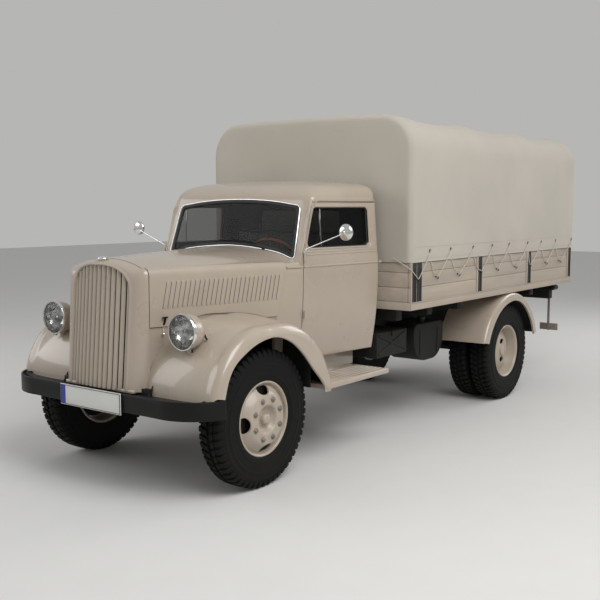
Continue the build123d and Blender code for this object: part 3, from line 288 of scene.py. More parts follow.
def apply_modifiers(piece):
    only(piece)
    for modifier in list(piece.modifiers):
        bpy.ops.object.modifier_apply(modifier=modifier.name)


def edit(piece, *steps):
    """Runs edit mode operators on the whole piece."""
    only(piece)
    bpy.ops.object.mode_set(mode="EDIT")
    bpy.ops.mesh.select_all(action="SELECT")
    for step in steps:
        step()
    bpy.ops.object.mode_set(mode="OBJECT")


def weld(distance=0.00005):
    bpy.ops.mesh.remove_doubles(threshold=distance)


def outwards():
    bpy.ops.mesh.normals_make_consistent(inside=False)


def outwards_now():
    bpy.ops.mesh.select_all(action="SELECT")
    outwards()


def bevelled(piece, width, segments=2, angle=35):
    """Rounds the sharp edges."""
    modifier = piece.modifiers.new("edges", "BEVEL")
    modifier.width = width / 1000
    modifier.segments = segments
    modifier.limit_method = "ANGLE"
    modifier.angle_limit = radians(angle)
    modifier.harden_normals = False
    apply_modifiers(piece)


def thick(piece, wall, even=False):
    """Gives a skin its wall, inwards from its outer face."""
    modifier = piece.modifiers.new("wall", "SOLIDIFY")
    modifier.thickness = wall / 1000
    modifier.offset = -1
    modifier.use_even_offset = even
    apply_modifiers(piece)


def skin(name, across, along, shape, flip=False, closed=False):
    """A grid whose points are moved to shape(u, v), in millimetres."""
    begin()
    bpy.ops.mesh.primitive_grid_add(x_subdivisions=across, y_subdivisions=along, size=1)
    piece = bpy.context.object
    piece.name = name
    piece.data.name = name
    for vertex in piece.data.vertices:
        vertex.co = at(*shape(vertex.co.x + 0.5, vertex.co.y + 0.5))
    if closed:
        edit(piece, weld)
    if flip:
        edit(piece, bpy.ops.mesh.flip_normals)
    return piece


def turned(name, profile, base, axis, steps=40):
    """A piece turned about an axis. Profile points are (distance along the axis, radius)."""
    along = Vector(axis).normalized()
    first = along.cross(Vector((0, 0, 1) if abs(along.z) < 0.9 else (1, 0, 0))).normalized()
    second = along.cross(first)
    last = len(profile) - 1

    def shape(u, v):
        reach, r = profile[round(v * last)]
        turn = 2 * pi * u
        return Vector(base) + along * reach + first * (r * cos(turn)) + second * (r * sin(turn))

    piece = skin(name, steps, last, shape, closed=True)
    edit(piece, outwards)
    return piece


def box(name, x, behind, z, edge=3, segments=2):
    """A block between two sides, places and heights, with rounded edges."""
    begin()
    bpy.ops.mesh.primitive_cube_add(size=1)
    piece = bpy.context.object
    piece.name = name
    low = at(min(x), min(behind), min(z))
    high = at(max(x), max(behind), max(z))
    for vertex in piece.data.vertices:
        vertex.co = Vector(mix(low[k], high[k], vertex.co[k] + 0.5) for k in range(3))
    if edge:
        bevelled(piece, edge, segments)
    return piece


def prism(name, plane_points, low, high, axis, edge=0):
    """A prism with the outline in (behind, z) along axis x, (x, z) along y, or (x, behind) along z."""
    begin()
    count = len(plane_points)
    bpy.ops.mesh.primitive_cylinder_add(vertices=count, radius=1, depth=2)
    piece = bpy.context.object
    piece.name = name
    for i, vertex in enumerate(piece.data.vertices):
        p, q = plane_points[i // 2]
        level = high if vertex.co.z > 0 else low
        vertex.co = {"x": at(level, p, q), "y": at(p, level, q), "z": at(p, q, level)}[axis]
    edit(piece, outwards)
    if edge:
        bevelled(piece, edge)
    return piece


def wire(name, points, radius, resolution=3, cyclic=False, smooth=True):
    """A round rod or rope along a line."""
    begin()
    curve = bpy.data.curves.new(name, "CURVE")
    curve.dimensions = "3D"
    spline = curve.splines.new("NURBS" if smooth else "POLY")
    spline.points.add(len(points) - 1)
    for point, place in zip(spline.points, points):
        point.co = (*at(*place), 1)
    if smooth:
        spline.order_u = 3
        spline.use_endpoint_u = True
        spline.resolution_u = 6
    spline.use_cyclic_u = cyclic
    curve.bevel_depth = radius / 1000
    curve.bevel_resolution = resolution
    curve.use_fill_caps = True
    piece = bpy.data.objects.new(name, curve)
    bpy.context.scene.collection.objects.link(piece)
    only(piece)
    bpy.ops.object.convert(target="MESH")
    return bpy.context.object


def rod(name, points, radius, resolution):
    """A straight-sided rod through points."""
    return wire(name, points, radius, resolution, smooth=False)


def loop(name, points, radius, resolution):
    """A closed ring through points."""
    return wire(name, points, radius, resolution, cyclic=True, smooth=False)


def cut(piece, *tools):
    """Cuts the tools' shapes out of the piece and takes the tools away."""
    for tool in tools:
        modifier = piece.modifiers.new("cut", "BOOLEAN")
        modifier.operation = "DIFFERENCE"
        modifier.solver = "EXACT"
        modifier.object = tool
        apply_modifiers(piece)
        bpy.data.objects.remove(tool)


def joined(name, pieces):
    begin()
    for piece in pieces:
        piece.select_set(True)
    bpy.context.view_layer.objects.active = pieces[0]
    if len(pieces) > 1:
        bpy.ops.object.join()
    made = bpy.context.object
    made.name = name
    made.data.name = name
    return made


def copied(piece, name, move=None):
    """A copy with its own mesh, moved by a matrix."""
    twin = piece.copy()
    twin.data = piece.data.copy()
    twin.name = name
    twin.data.name = name
    bpy.context.scene.collection.objects.link(twin)
    if move is not None:
        twin.data.transform(move)
    return twin


def mirrored(piece, name):
    twin = copied(piece, name, Matrix.Scale(-1, 4, (1, 0, 0)))
    edit(twin, bpy.ops.mesh.flip_normals)
    return twin


def done(piece, material, nodes=(), body="chassis", angle=40):
    """Settles the piece's place, shading, finish and body."""
    only(piece)
    bpy.ops.object.transform_apply(location=True, rotation=True, scale=True)
    bpy.ops.object.shade_smooth_by_angle(angle=radians(angle))
    if not piece.data.materials:
        piece.data.materials.append(material)
    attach(piece, body)
    if nodes:
        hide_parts(*nodes)
    return piece


def both(left, name, material, nodes=(), body="chassis"):
    """Finishes a left-hand piece, or several as one, and the mirror image. A {} in body is the side."""
    if isinstance(left, list):
        left = joined(name, left)
    right = mirrored(left, name + "_right")
    left.name = name + "_left"
    for piece, side in ((left, "left"), (right, "right")):
        done(piece, material, [f"{node}_{side}" for node in nodes], body.format(side))
    return left, right


def shade_sheet_inside(piece, name, centre, reach=9.0):
    """A near-black sheet of painted shade just inside the faces of a shell that look towards a place."""
    shade_sheet = copied(piece, name)
    middle = at(*centre)
    only(shade_sheet)
    bpy.ops.object.mode_set(mode="EDIT")
    bpy.ops.mesh.select_all(action="DESELECT")
    bpy.ops.mesh.select_mode(type="FACE")
    bpy.ops.object.mode_set(mode="OBJECT")
    for face in shade_sheet.data.polygons:
        inner = face.normal.dot((middle - face.center).normalized()) > 0.25
        face.select = not inner or abs(face.center.x) > reach
    bpy.ops.object.mode_set(mode="EDIT")
    bpy.ops.mesh.delete(type="FACE")
    bpy.ops.mesh.select_mode(type="VERT")
    bpy.ops.object.mode_set(mode="OBJECT")
    shade_sheet.data.materials.clear()
    shifts = [vertex.normal.copy() for vertex in shade_sheet.data.vertices]
    for vertex, shift in zip(shade_sheet.data.vertices, shifts):
        vertex.co += shift * 0.0015
    return shade_sheet


def from_node(node, name, edge, material, body="chassis", angle=35):
    """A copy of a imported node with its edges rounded, which stands for the node."""
    source = frame["nodes"][node]
    piece = copied(source, name)
    piece.parent = None
    for key in list(piece.keys()):
        if key.startswith("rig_"):
            del piece[key]
    piece.data.materials.clear()
    edit(piece, weld, lambda: bpy.ops.mesh.dissolve_limited(angle_limit=radians(1)))
    bevelled(piece, edge, angle=angle)
    return done(piece, material, [node], body)


# Body shapes

hood_front = -534
front_half, front_crown = 366, 1515
hood_flare, hood_rise = 0.2678, 0.038
seam = 4  # the gap round the doors and the lids


def hood_half(behind):
    return front_half + hood_flare * (behind - hood_front)


def hood_crown(behind):
    return front_crown + hood_rise * (behind - hood_front)


cab_foot, cab_joint, shoulder, cab_top = 744, 1422, 1530, 1926
cab_front_half = [(cab_foot, 642), (1041, 684), (cab_joint, 698), (shoulder, 694), (cab_top, 672)]
cab_rear_half = [(cab_foot, 750), (1041, 792), (cab_joint, 806), (shoulder, 797), (cab_top, 765)]
door_front, door_rear, door_top = 672, 1510, 1890
cab_rear = 1550


def cab_side(behind, z):
    """The cab's half width at a place and height."""
    front = table(cab_front_half, z)[0]
    rear = table(cab_rear_half, z)[0]
    return mix(front, rear, (behind - door_front) / (cab_rear - door_front))


def cowl_edge(z):
    """Where the cowl's side meets the hood's slanted rear edge."""
    return 525 - max(0, 1440 - max(z, 1000)) * 0.228


def lower_plan(z):
    """The cab's side and back in plan below the belt, from the left cowl edge to the right one."""
    edge = cowl_edge(z)
    corners = [
        (hood_half(edge), edge),
        (cab_side(door_front, z), door_front),
        (cab_side(cab_rear, z), cab_rear),
        (0, cab_rear),
    ]
    half = evenly(rounded(corners, (0, 0, 62, 0)), 50)
    return half + [Vector((-p.x, p.y)) for p in reversed(half[:-1])]


def screen_foot(z):
    """Where the cab's front is above the belt: it leans back with the windscreen."""
    return 634 + (z - cab_joint) * 0.2996


def pillar_place(z):
    """Where the door's front post is at a height."""
    return table([(cab_joint, 672), (shoulder, 674), (cab_top, 798)], z)[0]


def upper_plan(z):
    """The cab above the belt in plan, from the middle of the screen round to the middle again."""
    corners = [
        (0, screen_foot(z)),
        (mix(656, 622, (z - cab_joint) / (cab_top - cab_joint)), screen_foot(z)),
        (cab_side(pillar_place(z), z), pillar_place(z)),
        (cab_side(cab_rear, z), cab_rear),
        (0, cab_rear),
    ]
    half = evenly(rounded(corners, (0, 16, 34, 62, 0)), 70)
    return half + [Vector((-p.x, p.y)) for p in reversed(half[:-1])]


def door_edges(grow):
    """The door's outline in (behind, z), grown by a gap."""
    return [
        (door_front - grow, cab_foot - grow),
        (door_rear + grow, cab_foot - grow),
        (door_rear + grow, door_top + grow),
        (790 - grow, door_top + grow),
        (door_front - grow, shoulder + grow / 3),
    ]


def window_edges(grow):
    corners = [
        (704 - grow, 1560 - grow),
        (1412 + grow, 1560 - grow),
        (1412 + grow, 1854 + grow),
        (798 - grow, 1854 + grow),
    ]
    return rounded(corners, [36 + grow] * 4, 6)


screen_lean = radians(16.7)


def on_screen(x, rise, lift=0):
    """A point on the windscreen's plane, or ahead of it."""
    behind = 650 + rise * sin(screen_lean) - lift * cos(screen_lean)
    return (x, behind, 1475 + rise * cos(screen_lean) + lift * sin(screen_lean))


def screen_edges(grow):
    """The windscreen's outline on its plane, crowned at its foot and head."""
    foot = [(-630, 4), (-420, 62), (0, 96), (420, 62), (630, 4)]
    head = [(600, 404), (320, 441), (0, 454), (-320, 441), (-600, 404)]
    line = []
    for row, side in ((foot, -1), (head, 1)):
        rows = [(i, p[0] + (grow if p[0] > 0 else -grow if p[0] < 0 else 0), p[1] + side * grow)
                for i, p in enumerate(row)]
        line += [tuple(table(rows, i / 4)) for i in range(17)]
    corners = []
    for i, p in enumerate(line):
        if i not in (0, 16, 17, 33):
            corners.append(p)
            continue
        here = Vector(p)
        back = (Vector(line[i - 1]) - here).normalized() * 40
        on = (Vector(line[(i + 1) % len(line)]) - here).normalized() * 40
        for w in (1, 0.8, 0.6, 0.4, 0.2, 0):
            corners.append(tuple(here + back * w**2 + on * (1 - w) ** 2))
    return corners


def arc(first, through, last, w):
    """The point at share w of the arc through three points."""
    ax, ay = first
    bx, by = through
    cx, cy = last
    d = 2 * (ax * (by - cy) + bx * (cy - ay) + cx * (ay - by))
    ux = ((ax**2 + ay**2) * (by - cy) + (bx**2 + by**2) * (cy - ay) + (cx**2 + cy**2) * (ay - by)) / d
    uy = ((ax**2 + ay**2) * (cx - bx) + (bx**2 + by**2) * (ax - cx) + (cx**2 + cy**2) * (bx - ax)) / d
    start = atan2(ay - uy, ax - ux)
    sweep = (atan2(cy - uy, cx - ux) - start) % (2 * pi)
    middle = (atan2(by - uy, bx - ux) - start) % (2 * pi)
    if middle > sweep:
        sweep -= 2 * pi
    r = sqrt((ax - ux) ** 2 + (ay - uy) ** 2)
    return (ux + r * cos(start + sweep * w), uy + r * sin(start + sweep * w))


# Cab: a shell below the belt, a shell above it, the cowl and the roof
lower_across, upper_across = 98, 138  # steps round the two plans


def lower_shape(u, v):
    z = mix(cab_foot, cab_joint + 2, v)
    p = lower_plan(z)[round(u * lower_across)]
    return (p.x, p.y, z)


def upper_shape(u, v):
    z = mix(cab_joint, cab_top + 1, v)
    p = upper_plan(z)[round(u * upper_across)]
    return (p.x, p.y, z)


lower = skin("cab_lower", lower_across, 16, lower_shape)
upper = skin("cab_upper", upper_across, 20, upper_shape, closed=True)
for shell in (lower, upper):
    thick(shell, 26, even=True)


def screen_prism(name, grow, low, high):
    """A prism through the windscreen's outline, square to its plane."""
    edges = screen_edges(grow)
    begin()
    bpy.ops.mesh.primitive_cylinder_add(vertices=len(edges), radius=1, depth=2)
    piece = bpy.context.object
    piece.name = name
    for i, vertex in enumerate(piece.data.vertices):
        p, q = edges[i // 2]
        vertex.co = at(*on_screen(p, q, high if vertex.co.z > 0 else low))
    edit(piece, outwards)
    return piece


for side in (1, -1):
    hole = prism("door_hole", door_edges(seam), side * 480, side * 900, "x")
    cut(lower, copied(hole, "tool"))
    cut(upper, hole)
rear_low, rear_high = 1590, 1830
rear_window = rounded([
    (-rear_glass_half, rear_low), (rear_glass_half, rear_low),
    (rear_glass_half, rear_high), (-rear_glass_half, rear_high)], [36] * 4)
cut(upper, screen_prism("screen_hole", 0, -90, 60), prism("rear_hole", rear_window, 1450, 1600, "y"))
cab_shell = joined("cab_shell", [lower, upper])
bevelled(cab_shell, 2.5, 2, 50)
# Painted shade: a near-black sheet inside the cab's walls, so that the cab's inside reads dark.
done(shade_sheet_inside(cab_shell, "cab_painted_shade", (0, 1100, 1400)), cabin_black)
done(cab_shell, body_paint, ["cab_body"])


def post_shape(u, v):
    """The post between the windscreen and the door: its face, its rounded edge and its inner return."""
    z = mix(cab_joint + 2, 1912, v)
    edge = door_front - seam - 1.5 + max(0, z - shoulder) * 0.3278
    side = cab_side(edge, z)
    foot = mix(648, 614, (z - cab_joint) / (cab_top - cab_joint))
    rows = [
        (0, foot, screen_foot(z) + 1.5), (0.5, side - 26, min(edge, screen_foot(z) + 9) - 1.5),
        (0.62, side - 10, edge - 9), (0.74, side - 1, edge - 1), (0.78, side - 3, edge), (1, side - 40, edge),
    ]
    x, behind = table(rows, u)
    return (x, behind, z)


post = skin("screen_post", 20, 16, post_shape)
thick(post, 2.5)
both(post, "screen_post", body_paint)
fire_wall = box("fire_wall", (-590, 590), (530, 552), (776, 1440), 4)
floor = box("floor", (-612, 612), (552, 1520), (746, 774), 4)
dash = box("dash", (-600, 600), (640, 720), (1345, 1420), 22, 4)
dash_top = skin("dash_top", 24, 6, lambda u, v: (
    mix(-610, 610, u), mix(640, 740, v), 1428 + 34 * cos((u - 0.5) * pi) * (1 - v)))
thick(dash_top, 5, even=True)
seat_box = box("seat_box", (-580, 580), (1050, 1500), (775, 1038), 8)
# Painted shade: a near-black sheet over the inside of the cab's back wall.
shade_sheet = skin("back_wall_shade", 20, 8, lambda u, v: (mix(-730, 730, u), 1516, mix(780, 1580, v)))
thick(shade_sheet, 4, even=True)
inside = joined("cab_floor_and_dash", [fire_wall, floor, dash, dash_top, seat_box, shade_sheet])
done(inside, cabin_black)
rings, faces, needles = [], [], []
for x, r in ((180, 34), (300, 46), (420, 34)):
    place = (x, 718, 1384)
    ring_line = [(0, r - 4), (0, r + 3), (8, r + 3), (10, r), (8, r - 4), (0, r - 4)]
    rings.append(turned("dial_ring", ring_line, place, (0, 1, 0)))
    faces.append(turned("dial_face", [(0, 0), (0, r - 4), (4, r - 4), (4, 0)], place, (0, 1, 0)))
    needles.append(rod("needle", [(x, 723, 1384), (x + 0.5 * r, 723, 1384 + 0.5 * r)], 1.2, 1))
done(joined("dial_rings", rings), chrome)
done(joined("dial_faces", faces), core_black)
done(joined("dial_needles", needles), plate_white)


def section(half, crown, base):
    """A hood or cowl section from the middle to its lower edge, in (side offset, height)."""
    top = 1461
    rise = crown - top
    reach = half - 66
    line = [(reach * i / 14, crown - rise * (0.2 * i / 14 + 0.8 * (i / 14) ** 2.6)) for i in range(15)]
    line += [
        (half - 55, top - 1), (half - 44, top + 1.5), (half - 33, top + 2.5), (half - 23, top),
        (half - 14, top - 6.5), (half - 7, top - 16), (half - 2, top - 29), (half, top - 46),
    ]
    line += [(half, mix(top - 46, base, i / 9)) for i in range(1, 10)]
    return line


section_steps = 31
cowl_front, cowl_rear = 525, 664


def cowl_shape(u, v):
    line = section(mix(hood_half(cowl_front), 688, v), hood_crown(cowl_front) + 12 * v, 1395)
    x, z = line[round(abs(u - 0.5) * 2 * section_steps)]
    return ((-x if u < 0.5 else x), mix(cowl_front, cowl_rear, v), z)


cowl = skin("cowl", 2 * section_steps, 6, cowl_shape)
thick(cowl, 6, even=True)
done(cowl, body_paint)

# Roof: a dome over the cab's upper edge, with its drip rail
roof_rows = [  # (v, rise, inset)
    (0, 0, 0), (0.1, 22, 2), (0.2, 44, 8), (0.3, 64, 20), (0.4, 82, 40), (0.5, 96, 72),
    (0.6, 108, 118), (0.7, 117, 185), (0.8, 125, 280), (0.9, 131, 400), (1.0, 134, 560),
]
roof_base = upper_plan(cab_top)
roof_middle = 1190
roof_lead = [  # (v, how much shorter the roof's front is)
    (0, 0), (0.1, 14), (0.2, 38), (0.3, 70), (0.4, 108), (0.5, 150), (0.6, 196), (0.7, 242), (0.8, 288),
    (0.9, 330), (1.0, 366),
]


def roof_shape(u, v):
    """The cab's upper plan drawn in towards the middle as it rises, with a longer slope in front."""
    rise, inset = table(roof_rows, v)
    p = roof_base[round(u * upper_across)]
    side = max(0.0, 1 - inset / 765)
    if p.y < roof_middle:
        corner = ((roof_middle - p.y) / 400) ** 2
        side = max(0.0, 1 - inset * (1 + 0.9 * corner * (1 - v)) / 765)
        length = 1 - table(roof_lead, v)[0] / 430
    else:
        length = 1 - inset * 0.75 / 720
    return (p.x * side, roof_middle + (p.y - roof_middle) * length, cab_top + rise)


roof = skin("roof", upper_across, 24, roof_shape, closed=True)
edit(roof, outwards)
top_z = max(v.co.z for v in roof.data.vertices)
only(roof)
bpy.ops.object.mode_set(mode="EDIT")
bpy.ops.mesh.select_mode(type="EDGE")
bpy.ops.mesh.select_all(action="DESELECT")
bpy.ops.object.mode_set(mode="OBJECT")
for edge in roof.data.edges:
    edge.select = all(roof.data.vertices[i].co.z > top_z - 0.0001 for i in edge.vertices)
bpy.ops.object.mode_set(mode="EDIT")
bpy.ops.mesh.fill()
bpy.ops.mesh.select_mode(type="VERT")
outwards_now()
bpy.ops.object.mode_set(mode="OBJECT")
thick(roof, 20)
# Painted shade: a near-black sheet under the inside of the roof.
done(shade_sheet_inside(roof, "roof_painted_shade", (0, 1150, 1500)), cabin_black)
drip_points = []
for i in range(13):
    behind = mix(1500, 830, i / 12)
    drip_points.append((cab_side(behind, 1904) + 4, behind, 1904))
for i in range(1, 8):
    z = mix(1900, 1560, i / 7)
    behind = pillar_place(z) + 16
    drip_points.append((cab_side(behind, z) + 4, behind, z))
drips = [wire("drip", drip_points, 4.5, 2)]
drips.append(mirrored(drips[0], "drip"))
roof = joined("cab_roof_skin", [roof] + drips)
done(roof, body_paint, ["cab_roof"])

# Windscreen, rear window, their rubbers and the wiper
pane_line = [(x * 0.99, mix((rear_low + rear_high) / 2, z, 0.98)) for x, z in rear_window]
panes = [screen_prism("screen_pane", -2, -5, 0), prism("rear_pane", pane_line, 1532, 1537, "y")]
done(joined("cab_panes", panes), window_glass, ["cab_windows"])
screen_line = [on_screen(p[0], p[1], 8) for p in screen_edges(2)]
done(loop("screen_trim", screen_line, 2.8, 2), chrome)
rubber_line = [on_screen(p[0], p[1], -3) for p in screen_edges(-14)]
done(loop("screen_rubber", rubber_line, 15, 2), gasket)
rear_line = [(p[0], 1548, p[1]) for p in rear_window]
done(loop("rear_window_rubber", rear_line, 8, 2), gasket)
done(box("rear_window_bar", (-8, 8), (1540, 1550), (1588, 1832), 3), cabin_black)
pivot_line = [(0, 0), (0, 9), (14, 9), (18, 5), (18, 0)]
screen_out = (0, -cos(screen_lean), sin(screen_lean))
wiper = [
    turned("wiper_pivot", pivot_line, on_screen(330, 74, 6), screen_out),
    wire("wiper_arm", [on_screen(330, 74, 22), on_screen(200, 108, 24), on_screen(60, 132, 18)], 3, 2),
    wire("wiper_blade", [on_screen(-120, 128, 15), on_screen(60, 134, 15), on_screen(225, 118, 15)], 4, 2),
]
done(joined("wiper", wiper), black_paint)


# Doors, with their window lips, mouldings and hinge halves
def door_shape(u, v):
    z = mix(cab_foot, door_top, v)
    front = door_front if z < shoulder else mix(door_front, 790, (z - shoulder) / (door_top - shoulder))
    behind = mix(front + 1, door_rear - 1, u)
    return (cab_side(behind, z), behind, z)


def along_side(name, z, radius, start, end, sink):
    """A half-round moulding along the cab's side."""
    points = []
    for i in range(13):
        behind = mix(start, end, i / 12)
        points.append((cab_side(behind, z) - sink, behind, z))
    return wire(name, points, radius)


belt = 1427
door = skin("door", 30, 44, door_shape)
thick(door, 34, even=True)
cut(door, prism("window_hole", window_edges(0), 480, 900, "x"))
bevelled(door, 3, 2, 45)
window_lip = loop("window_lip", [(cab_side(*p) - 1, *p) for p in window_edges(8)], 6, 2)
window_frame = loop("window_frame", [(cab_side(*p) - 3, *p) for p in window_edges(30)], 5, 2)
pieces = [
    door, window_lip, window_frame,
    along_side("belt", belt, 10, 678, 1504, 4),
    along_side("waist", 1512, 7, 700, 1500, 3),
    along_side("waist", 1532, 5, 700, 1500, 2),
]
for low, high in ((1050, 1110), (1465, 1525)):
    barrel = [(0, 0), (1, 6), (2, 8), (high - low - 2, 8), (high - low - 1, 6), (high - low, 0)]
    pieces.append(turned("hinge", barrel, (708, 670, low), (0, 0, 1), 16))
# Painted shade: a near-black sheet on the inside of the door.
door_painted_shade = shade_sheet_inside(door, "door_painted_shade", (0, 1100, 1400))
both(door_painted_shade, "door_painted_shade", cabin_black, body="door_{}_body")
both(pieces, "door_skin", body_paint, ["door"], "door_{}_body")
window_rubber = loop("window_rubber", [(cab_side(*p) - 16, *p) for p in window_edges(-2)], 6, 2)
both(window_rubber, "window_rubber", gasket, body="door_{}_body")
divider = box("window_divider", (-5, 5), (888, 896), (1562, 1848), 2)
for vertex in divider.data.vertices:
    vertex.co.x += (cab_side(892, vertex.co.z * 1000) - 26) / 1000
both(divider, "window_divider", chrome, body="door_{}_body")
belt_end = along_side("cowl_belt", belt, 10, 1514, 1546, 4)
both(belt_end, "cab_belt", body_paint)
cowl_line = [(hood_half(b) + (8 if b > 600 else 2), b, belt) for b in (530, 570, 610, 664)]
cowl_belt = wire("cowl_belt", cowl_line, 8, 2)
both(cowl_belt, "cowl_belt", body_paint)

# Hood lids: a louvred skin with its hinge eyes on the centre rod
junction = [  # the height of the fender's inner edge along the hood
    (-570, 692), (-515, 880), (-455, 985), (-195, 1131), (10, 1140), (222, 1119), (440, 1050), (519, 1010)]


def lid_shape(u, v):
    behind = mix(hood_front + 2, 519, v)
    z = 1500
    for _ in range(3):
        base = max(1088, table(junction, behind)[0] + 4)
        line = section(hood_half(behind), hood_crown(behind), base)
        line[0] = (7, line[0][1])
        x, z = line[round(u * section_steps)]
        behind = mix(hood_front + 1, cowl_edge(z) - seam, v)
    return (x, behind, z)


lid = skin("lid", section_steps, 46, lid_shape, flip=True)
thick(lid, 7, even=True)
side_turn = Matrix.Rotation(-atan(hood_flare), 4, "Z")
louvre_height = 206
louvre_lean = 41


def louvre_end(v):
    """How open a louvre is along its height: full but for its rounded ends."""
    return max(0, min(1, 14 * v, 9 * (1 - v))) ** 0.6


def louvre_shape(u, v):
    """A pressed louvre, open at its front edge and leaning back at its head."""
    lift = 10.5 * (1 - max(0, 2.2 * u - 1.2) ** 1.5) * louvre_end(v) if u < 1 else 0
    return (lift, mix(0, 25, u) + louvre_lean * v, louvre_height * v)


def louvre_gap_shade(u, v):
    """Painted shade: a near-black strip in the gap behind a louvre's open edge."""
    share = 0.03 + 0.93 * v
    ahead = -1.2 - 1.4 * (1 - u)
    return (0.6 + 9.2 * u * louvre_end(share), ahead + louvre_lean * share, louvre_height * share)


louvre = skin("louvre", 8, 14, louvre_shape)
edit(louvre, outwards)
if sum(p.normal.x for p in louvre.data.polygons) < 0:
    edit(louvre, bpy.ops.mesh.flip_normals)
thick(louvre, 1.2)
# Painted shade: near-black strips behind the louvres' openings, where the hood's inside is in shade.
slot = skin("louvre_slot", 1, 10, louvre_gap_shade)
thick(slot, 0.6)
louvres = []
louvre_shades = []
origin = Matrix.Translation(-at(0, 0, 0))
for i in range(26):
    behind = -445 + i * 876 / 25
    move = Matrix.Translation(at(hood_half(behind) - 0.3, behind, 1190 + 4 * i / 25)) @ side_turn @ origin
    louvres.append(copied(louvre, "louvre", move))
    louvre_shades.append(copied(slot, "slot", move))
for piece in (louvre, slot):
    bpy.data.objects.remove(piece)
rod_lean = atan(hood_rise)


def rod_eyes(starts):
    """The hinge eyes of a lid, by the start of each along the centre rod."""
    line = [(0, 5.4), (0, 8), (56, 8), (56, 5.4), (0, 5.4)]
    back, up = cos(rod_lean), sin(rod_lean)
    places = [(0, -550 + start * back, 1516 + start * up) for start in starts]
    return [turned("eye", line, place, (0, back, up), 20) for place in places]


eyes = rod_eyes((100, 540, 940))
left_louvres = [copied(p, "louvre") for p in louvres]
left_lid = joined("lid_left", [copied(lid, "lid_left")] + left_louvres + eyes)
done(left_lid, body_paint, ["hood_left"], "hood_left_body")
eyes = rod_eyes((170, 610, 870))
half_lid = joined("lid_right", [lid] + louvres)
right_lid = joined("lid_right", [mirrored(half_lid, "lid_right")] + eyes)
bpy.data.objects.remove(half_lid)
done(right_lid, body_paint, ["hood_right"], "hood_right_body")
both(louvre_shades, "louvre_painted_shade", core_black, body="hood_{}_body")
latch_behind = -437
latch_x = hood_half(latch_behind)
bar_line = [
    (latch_x + x, latch_behind + b, z) for x, b, z in ((18, -24, 1146), (22, 0, 1150), (18, 24, 1146))]
stem_line = [(latch_x + x, latch_behind, z) for x, z in ((21, 1149), (19, 1116), (4, 1100))]
plate_line = [(0, 0), (0, 13), (4, 13), (6, 9), (6, 0)]
latch = [
    wire("latch_bar", bar_line, 5, 3),
    wire("latch_stem", stem_line, 7, 3),
    turned("latch_plate", plate_line, (latch_x - 1, latch_behind, 1102), (1, 0, 0), 20),
]
both(joined("latch", latch), "hood_latch", black_paint, body="hood_{}_body")
ball = [(0, 0), (1, 5), (4, 9), (9, 11), (14, 9), (17, 5), (18, 0)]
latch_rod = [
    rod("latch_rod", [(latch_x + 9, -440, 1086), (latch_x + 7, -441, 1048)], 2.4, 2),
    turned("latch_ball", ball, (latch_x + 7, -441, 1049), (0, 0, -1), 20),
    rod("rod_eye", [(latch_x - 4, -441, 1040), (latch_x + 7, -441, 1040)], 2.5, 2),
]
both(latch_rod, "latch_rod", chrome)

# Radiator shell: a broad rounded face between the grille and the hood, with ribs, rod and cap
def grille_front(x, z):
    """Where the grille's face is: it leans back and curves back at its sides."""
    return -690 + (z - 700) * 0.0791 + 50 * (x / 300) ** 2


ring_steps = 60  # steps from the shell's middle to its foot
outer_ring = evenly(section(front_half, front_crown, 674), ring_steps + 1)
inner_corners = [
    (0, 1484), (70, 1482), (140, 1470), (205, 1440), (246, 1396), (265, 1340), (268, 1270), (268, 688)]
inner_ring = evenly(rounded_line(inner_corners, 5), ring_steps + 1)
face_rows = [  # (v, spread from the grille to the hood, distance back)
    (0, 0.0, 26), (0.08, 0.0, 4), (0.16, 0.03, -7), (0.24, 0.10, -9), (0.32, 0.16, -4), (0.42, 0.29, 1),
    (0.55, 0.50, 13), (0.68, 0.69, 33), (0.80, 0.84, 60), (0.90, 0.94, 86), (1.0, 1.0, 118),
]


def shell_shape(u, v):
    side = -1 if u < 0.5 else 1
    k = round(abs(u - 0.5) * 2 * ring_steps)
    inner, outer = inner_ring[k], outer_ring[k]
    spread, back = table(face_rows, v)
    x = mix(inner.x, outer.x, spread)
    z = mix(inner.y, outer.y, spread)
    start = grille_front(inner.x, inner.y)
    depth = hood_front - 4 - start
    behind = start + (back / 118 * depth if back > 0 else back)
    return (side * x, behind, z)


shell = skin("radiator_face", 2 * ring_steps, 30, shell_shape, flip=True)
thick(shell, 5)
centre_rod = rod("hood_rod", [(0, -560, 1515.6), (0, 526, 1556.9)], 5, 3)


def flange_shape(u, v):
    """A narrow step inside the hood's front edge."""
    x, z = section(hood_half(hood_front) - 8, 1506, 705)[round(abs(u - 0.5) * 2 * section_steps)]
    return ((-x if u < 0.5 else x), mix(-546, -520, v), z)


flange = skin("shell_flange", 2 * section_steps, 2, flange_shape, flip=True)
thick(flange, 3)
shell_pieces = [shell, centre_rod, flange]
bars = []
for i in range(13):
    x = (i - 6) * 41.8
    head = min(1486, arch_height(inner_ring, max(0, abs(x) - 8)) + 5)

    def bar_shape(u, v, x=x, head=head):
        z = mix(684, head, v)
        swell = cos((u - 0.5) * pi) ** 0.55 if 0 < u < 1 else 0
        return (x + (u - 0.5) * 37, grille_front(x, z) + 16 - 17 * swell, z)

    bar = skin("grille_bar", 10, 14, bar_shape)
    edit(bar, outwards)
    bars.append(bar)
done(joined("radiator_shell_skin", shell_pieces), body_paint, ["radiator_shell"])
done(joined("grille_bars", bars), body_paint)


def grille_back_shape(u, v):
    x = mix(-272, 272, u)
    head = min(1482, arch_height(inner_ring, abs(x)) + 8)
    return (x, grille_front(x, mix(708, 1490, v)) + 24, mix(708, head, v))


